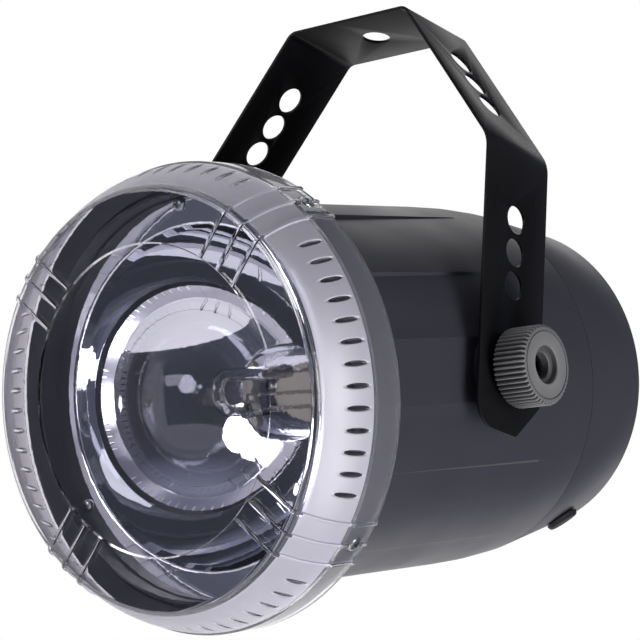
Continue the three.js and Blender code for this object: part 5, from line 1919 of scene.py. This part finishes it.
class Studio:
    """A pale floor, a white surround, soft lamps, and a dark tent that gloss shows.

    Attributes:
        floor_drop: How far the floor lies under the hanging hole, in metres.
        floor_size: Its width in metres.
        floor_paleness: How much of its white the camera sees without its shadows.
        world_light: Strength of the plain light from all round.
        tent_radius: In metres.
        tent_centre: In the housing's frame, in metres.
        tent_foot: Elevation of the tent's lower edge, in degrees.
        tent_sides: Azimuths of its side edges, in degrees.
        foot_sides: The azimuth up to which it has that lower edge.
        roof_span: Heights, as shares of the radius, between which its roof brightens.
        roof_tones: Its brightness there.
        room_way: Azimuth and elevation of its darkest place.
        room_span: Where it brightens towards that place's sides, as a cosine.
        room_tones: Its brightness there.
        card_gap: How far inside the tent the cards hang, in metres.
        boxes: The lamps.
        cards: The lit cards in the tent.
    """

    floor_drop = 2.0
    floor_size = 14
    floor_paleness = 0.9
    world_light = 0.27
    tent_radius = 0.72
    tent_centre = Vector((0, -0.085, 0))
    tent_foot = -36
    tent_sides = (-50, 195)
    foot_sides = 100
    roof_span = (0.5, 0.85)
    roof_tones = (0, 0.3)
    room_way = (34, -3)
    room_span = (0.85, 0.3)
    room_tones = (0.05, 0.14)
    card_gap = 0.02
    boxes = (
        SoftBox("front_box", -3, 21, 1.5, (0.6, 0.6), 2.5),
        SoftBox("right_box", 82, -38, 1.4, (0.7, 0.9), 22),
        SoftBox("top_box", 40, 75, 1.3, (0.9, 0.6), 1.5),
        SoftBox("left_box", -75, -20, 1.4, (0.5, 1.0), 4),
    )

    cards = (
        Card("umbrella", -14, 21, (0.52, 0.34), 7, 6),
        Card("left_soft", -32, 29, (0.42, 0.2), 3),
        Card("right_soft", 82, -2, (0.5, 0.7), 7),
        Card("top_strip", 60, 62, (0.5, 0.12), 1.2),
    )

    def tent(self) -> None:
        """A dark tent round the front, open behind and below, so that the white surround shows there."""
        bpy.ops.object.select_all(action="DESELECT")
        bpy.ops.mesh.primitive_uv_sphere_add(segments=72, ring_count=36, radius=self.tent_radius)
        tent = bpy.context.object
        tent.name = "dark_tent"

        def open_side(place: Vector) -> bool:
            """Whether the tent is open there."""
            azimuth = math.degrees(math.atan2(place.x, -place.y))
            foot = self.tent_radius * math.sin(math.radians(self.tent_foot))
            low = azimuth < self.foot_sides and place.z * MM < foot
            return low or not self.tent_sides[0] < azimuth < self.tent_sides[1]

        with editing(tent, "FACE"):
            choose(tent, open_side, "FACE")
            bpy.ops.mesh.delete(type="FACE")
        tent.matrix_world = HOUSING @ Matrix.Translation(self.tent_centre)
        material, tree = blank_material("dark_cloth")
        place = add_node(tree, "ShaderNodeTexCoord").outputs["Object"]
        height = add_node(tree, "ShaderNodeSeparateXYZ", {}, {"Vector": place}).outputs["Z"]
        front = {"operation": "DOT_PRODUCT", 1: direction(*self.room_way)}
        ahead = add_node(tree, "ShaderNodeVectorMath", front, {0: place}).outputs["Value"]
        roof_span, room_span = (
            (low * self.tent_radius, high * self.tent_radius)
            for low, high in (self.roof_span, self.room_span)
        )
        roof = spread(tree, height, roof_span, self.roof_tones)
        room = spread(tree, ahead, room_span, self.room_tones)
        tone = sums(tree, "MAXIMUM", roof, room)
        glow = add_node(tree, "ShaderNodeEmission", {"Color": linear("#dce3fa")}, {"Strength": tone})
        close_tree(tree, glow.outputs["Emission"])
        tent.data.materials.append(material)
        off_stage(tent)

    def world(self) -> None:
        """White to the camera, to gloss and to clear pieces, and plain light to the rest."""
        world = bpy.data.worlds.new("studio")
        world.use_nodes = True
        bpy.context.scene.world = world
        tree = world.node_tree
        tree.nodes.clear()
        path = add_node(tree, "ShaderNodeLightPath").outputs
        shown = sums(tree, "MAXIMUM", path["Is Camera Ray"], path["Is Transmission Ray"])
        seen = sums(tree, "MAXIMUM", shown, path["Is Glossy Ray"])
        white = add_node(tree, "ShaderNodeBackground", {"Color": linear(WHITE), "Strength": 1.0})
        light = {"Color": linear("#f4f5fa"), "Strength": self.world_light}
        plain = add_node(tree, "ShaderNodeBackground", light)
        either = {0: seen, 1: plain.outputs["Background"], 2: white.outputs["Background"]}
        close_tree(tree, add_node(tree, "ShaderNodeMixShader", {}, either).outputs["Shader"], "World")

    def floor(self) -> None:
        """A pale floor that keeps the object's shadow."""
        bpy.ops.object.select_all(action="DESELECT")
        bpy.ops.mesh.primitive_plane_add(size=self.floor_size, location=(0, 0, -self.floor_drop))
        plane = bpy.context.object
        plane.name = "studio_floor"
        material, tree = blank_material("pale_floor")
        paint = {"Base Color": linear("#f4f4f4"), "Roughness": 0.8, "Specular IOR Level": 0.1}
        shader = add_node(tree, "ShaderNodeBsdfPrincipled", paint)
        path = add_node(tree, "ShaderNodeLightPath").outputs
        reflected = sums(tree, "MAXIMUM", path["Is Glossy Ray"], path["Is Transmission Ray"])
        seen = sums(tree, "MULTIPLY", path["Is Camera Ray"], self.floor_paleness)
        white = add_node(tree, "ShaderNodeEmission", {"Color": linear(WHITE), "Strength": 1.0})
        either = {
            0: sums(tree, "MAXIMUM", reflected, seen),
            1: shader.outputs["BSDF"],
            2: white.outputs["Emission"],
        }
        close_tree(tree, add_node(tree, "ShaderNodeMixShader", {}, either).outputs["Shader"])
        plane.data.materials.append(material)

    def build(self) -> None:
        """Builds the studio."""
        bpy.context.scene.view_settings.view_transform = "Standard"
        self.world()
        self.floor()
        self.tent()
        for box in self.boxes:
            box.build()
        for card in self.cards:
            card.build(self.tent_centre, self.tent_radius - self.card_gap)


def main() -> None:
    """Loads the frame and dresses it, logging what it makes."""
    logging.basicConfig(level=logging.INFO, format="%(name)s: %(message)s")
    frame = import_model()
    PhotoCamera().build()
    Studio().build()
    paint = Paintshop()
    for kind in (
        HangingBracket,
        HousingShells,
        FrontCover,
        Reflector,
        Lamp,
        TiltClamps,
        RearControls,
        Screws,
        Insides,
    ):
        kind(paint, frame["nodes"]).build()
        log.info("%s done", kind.__name__)


if __name__ == "__main__":
    main()
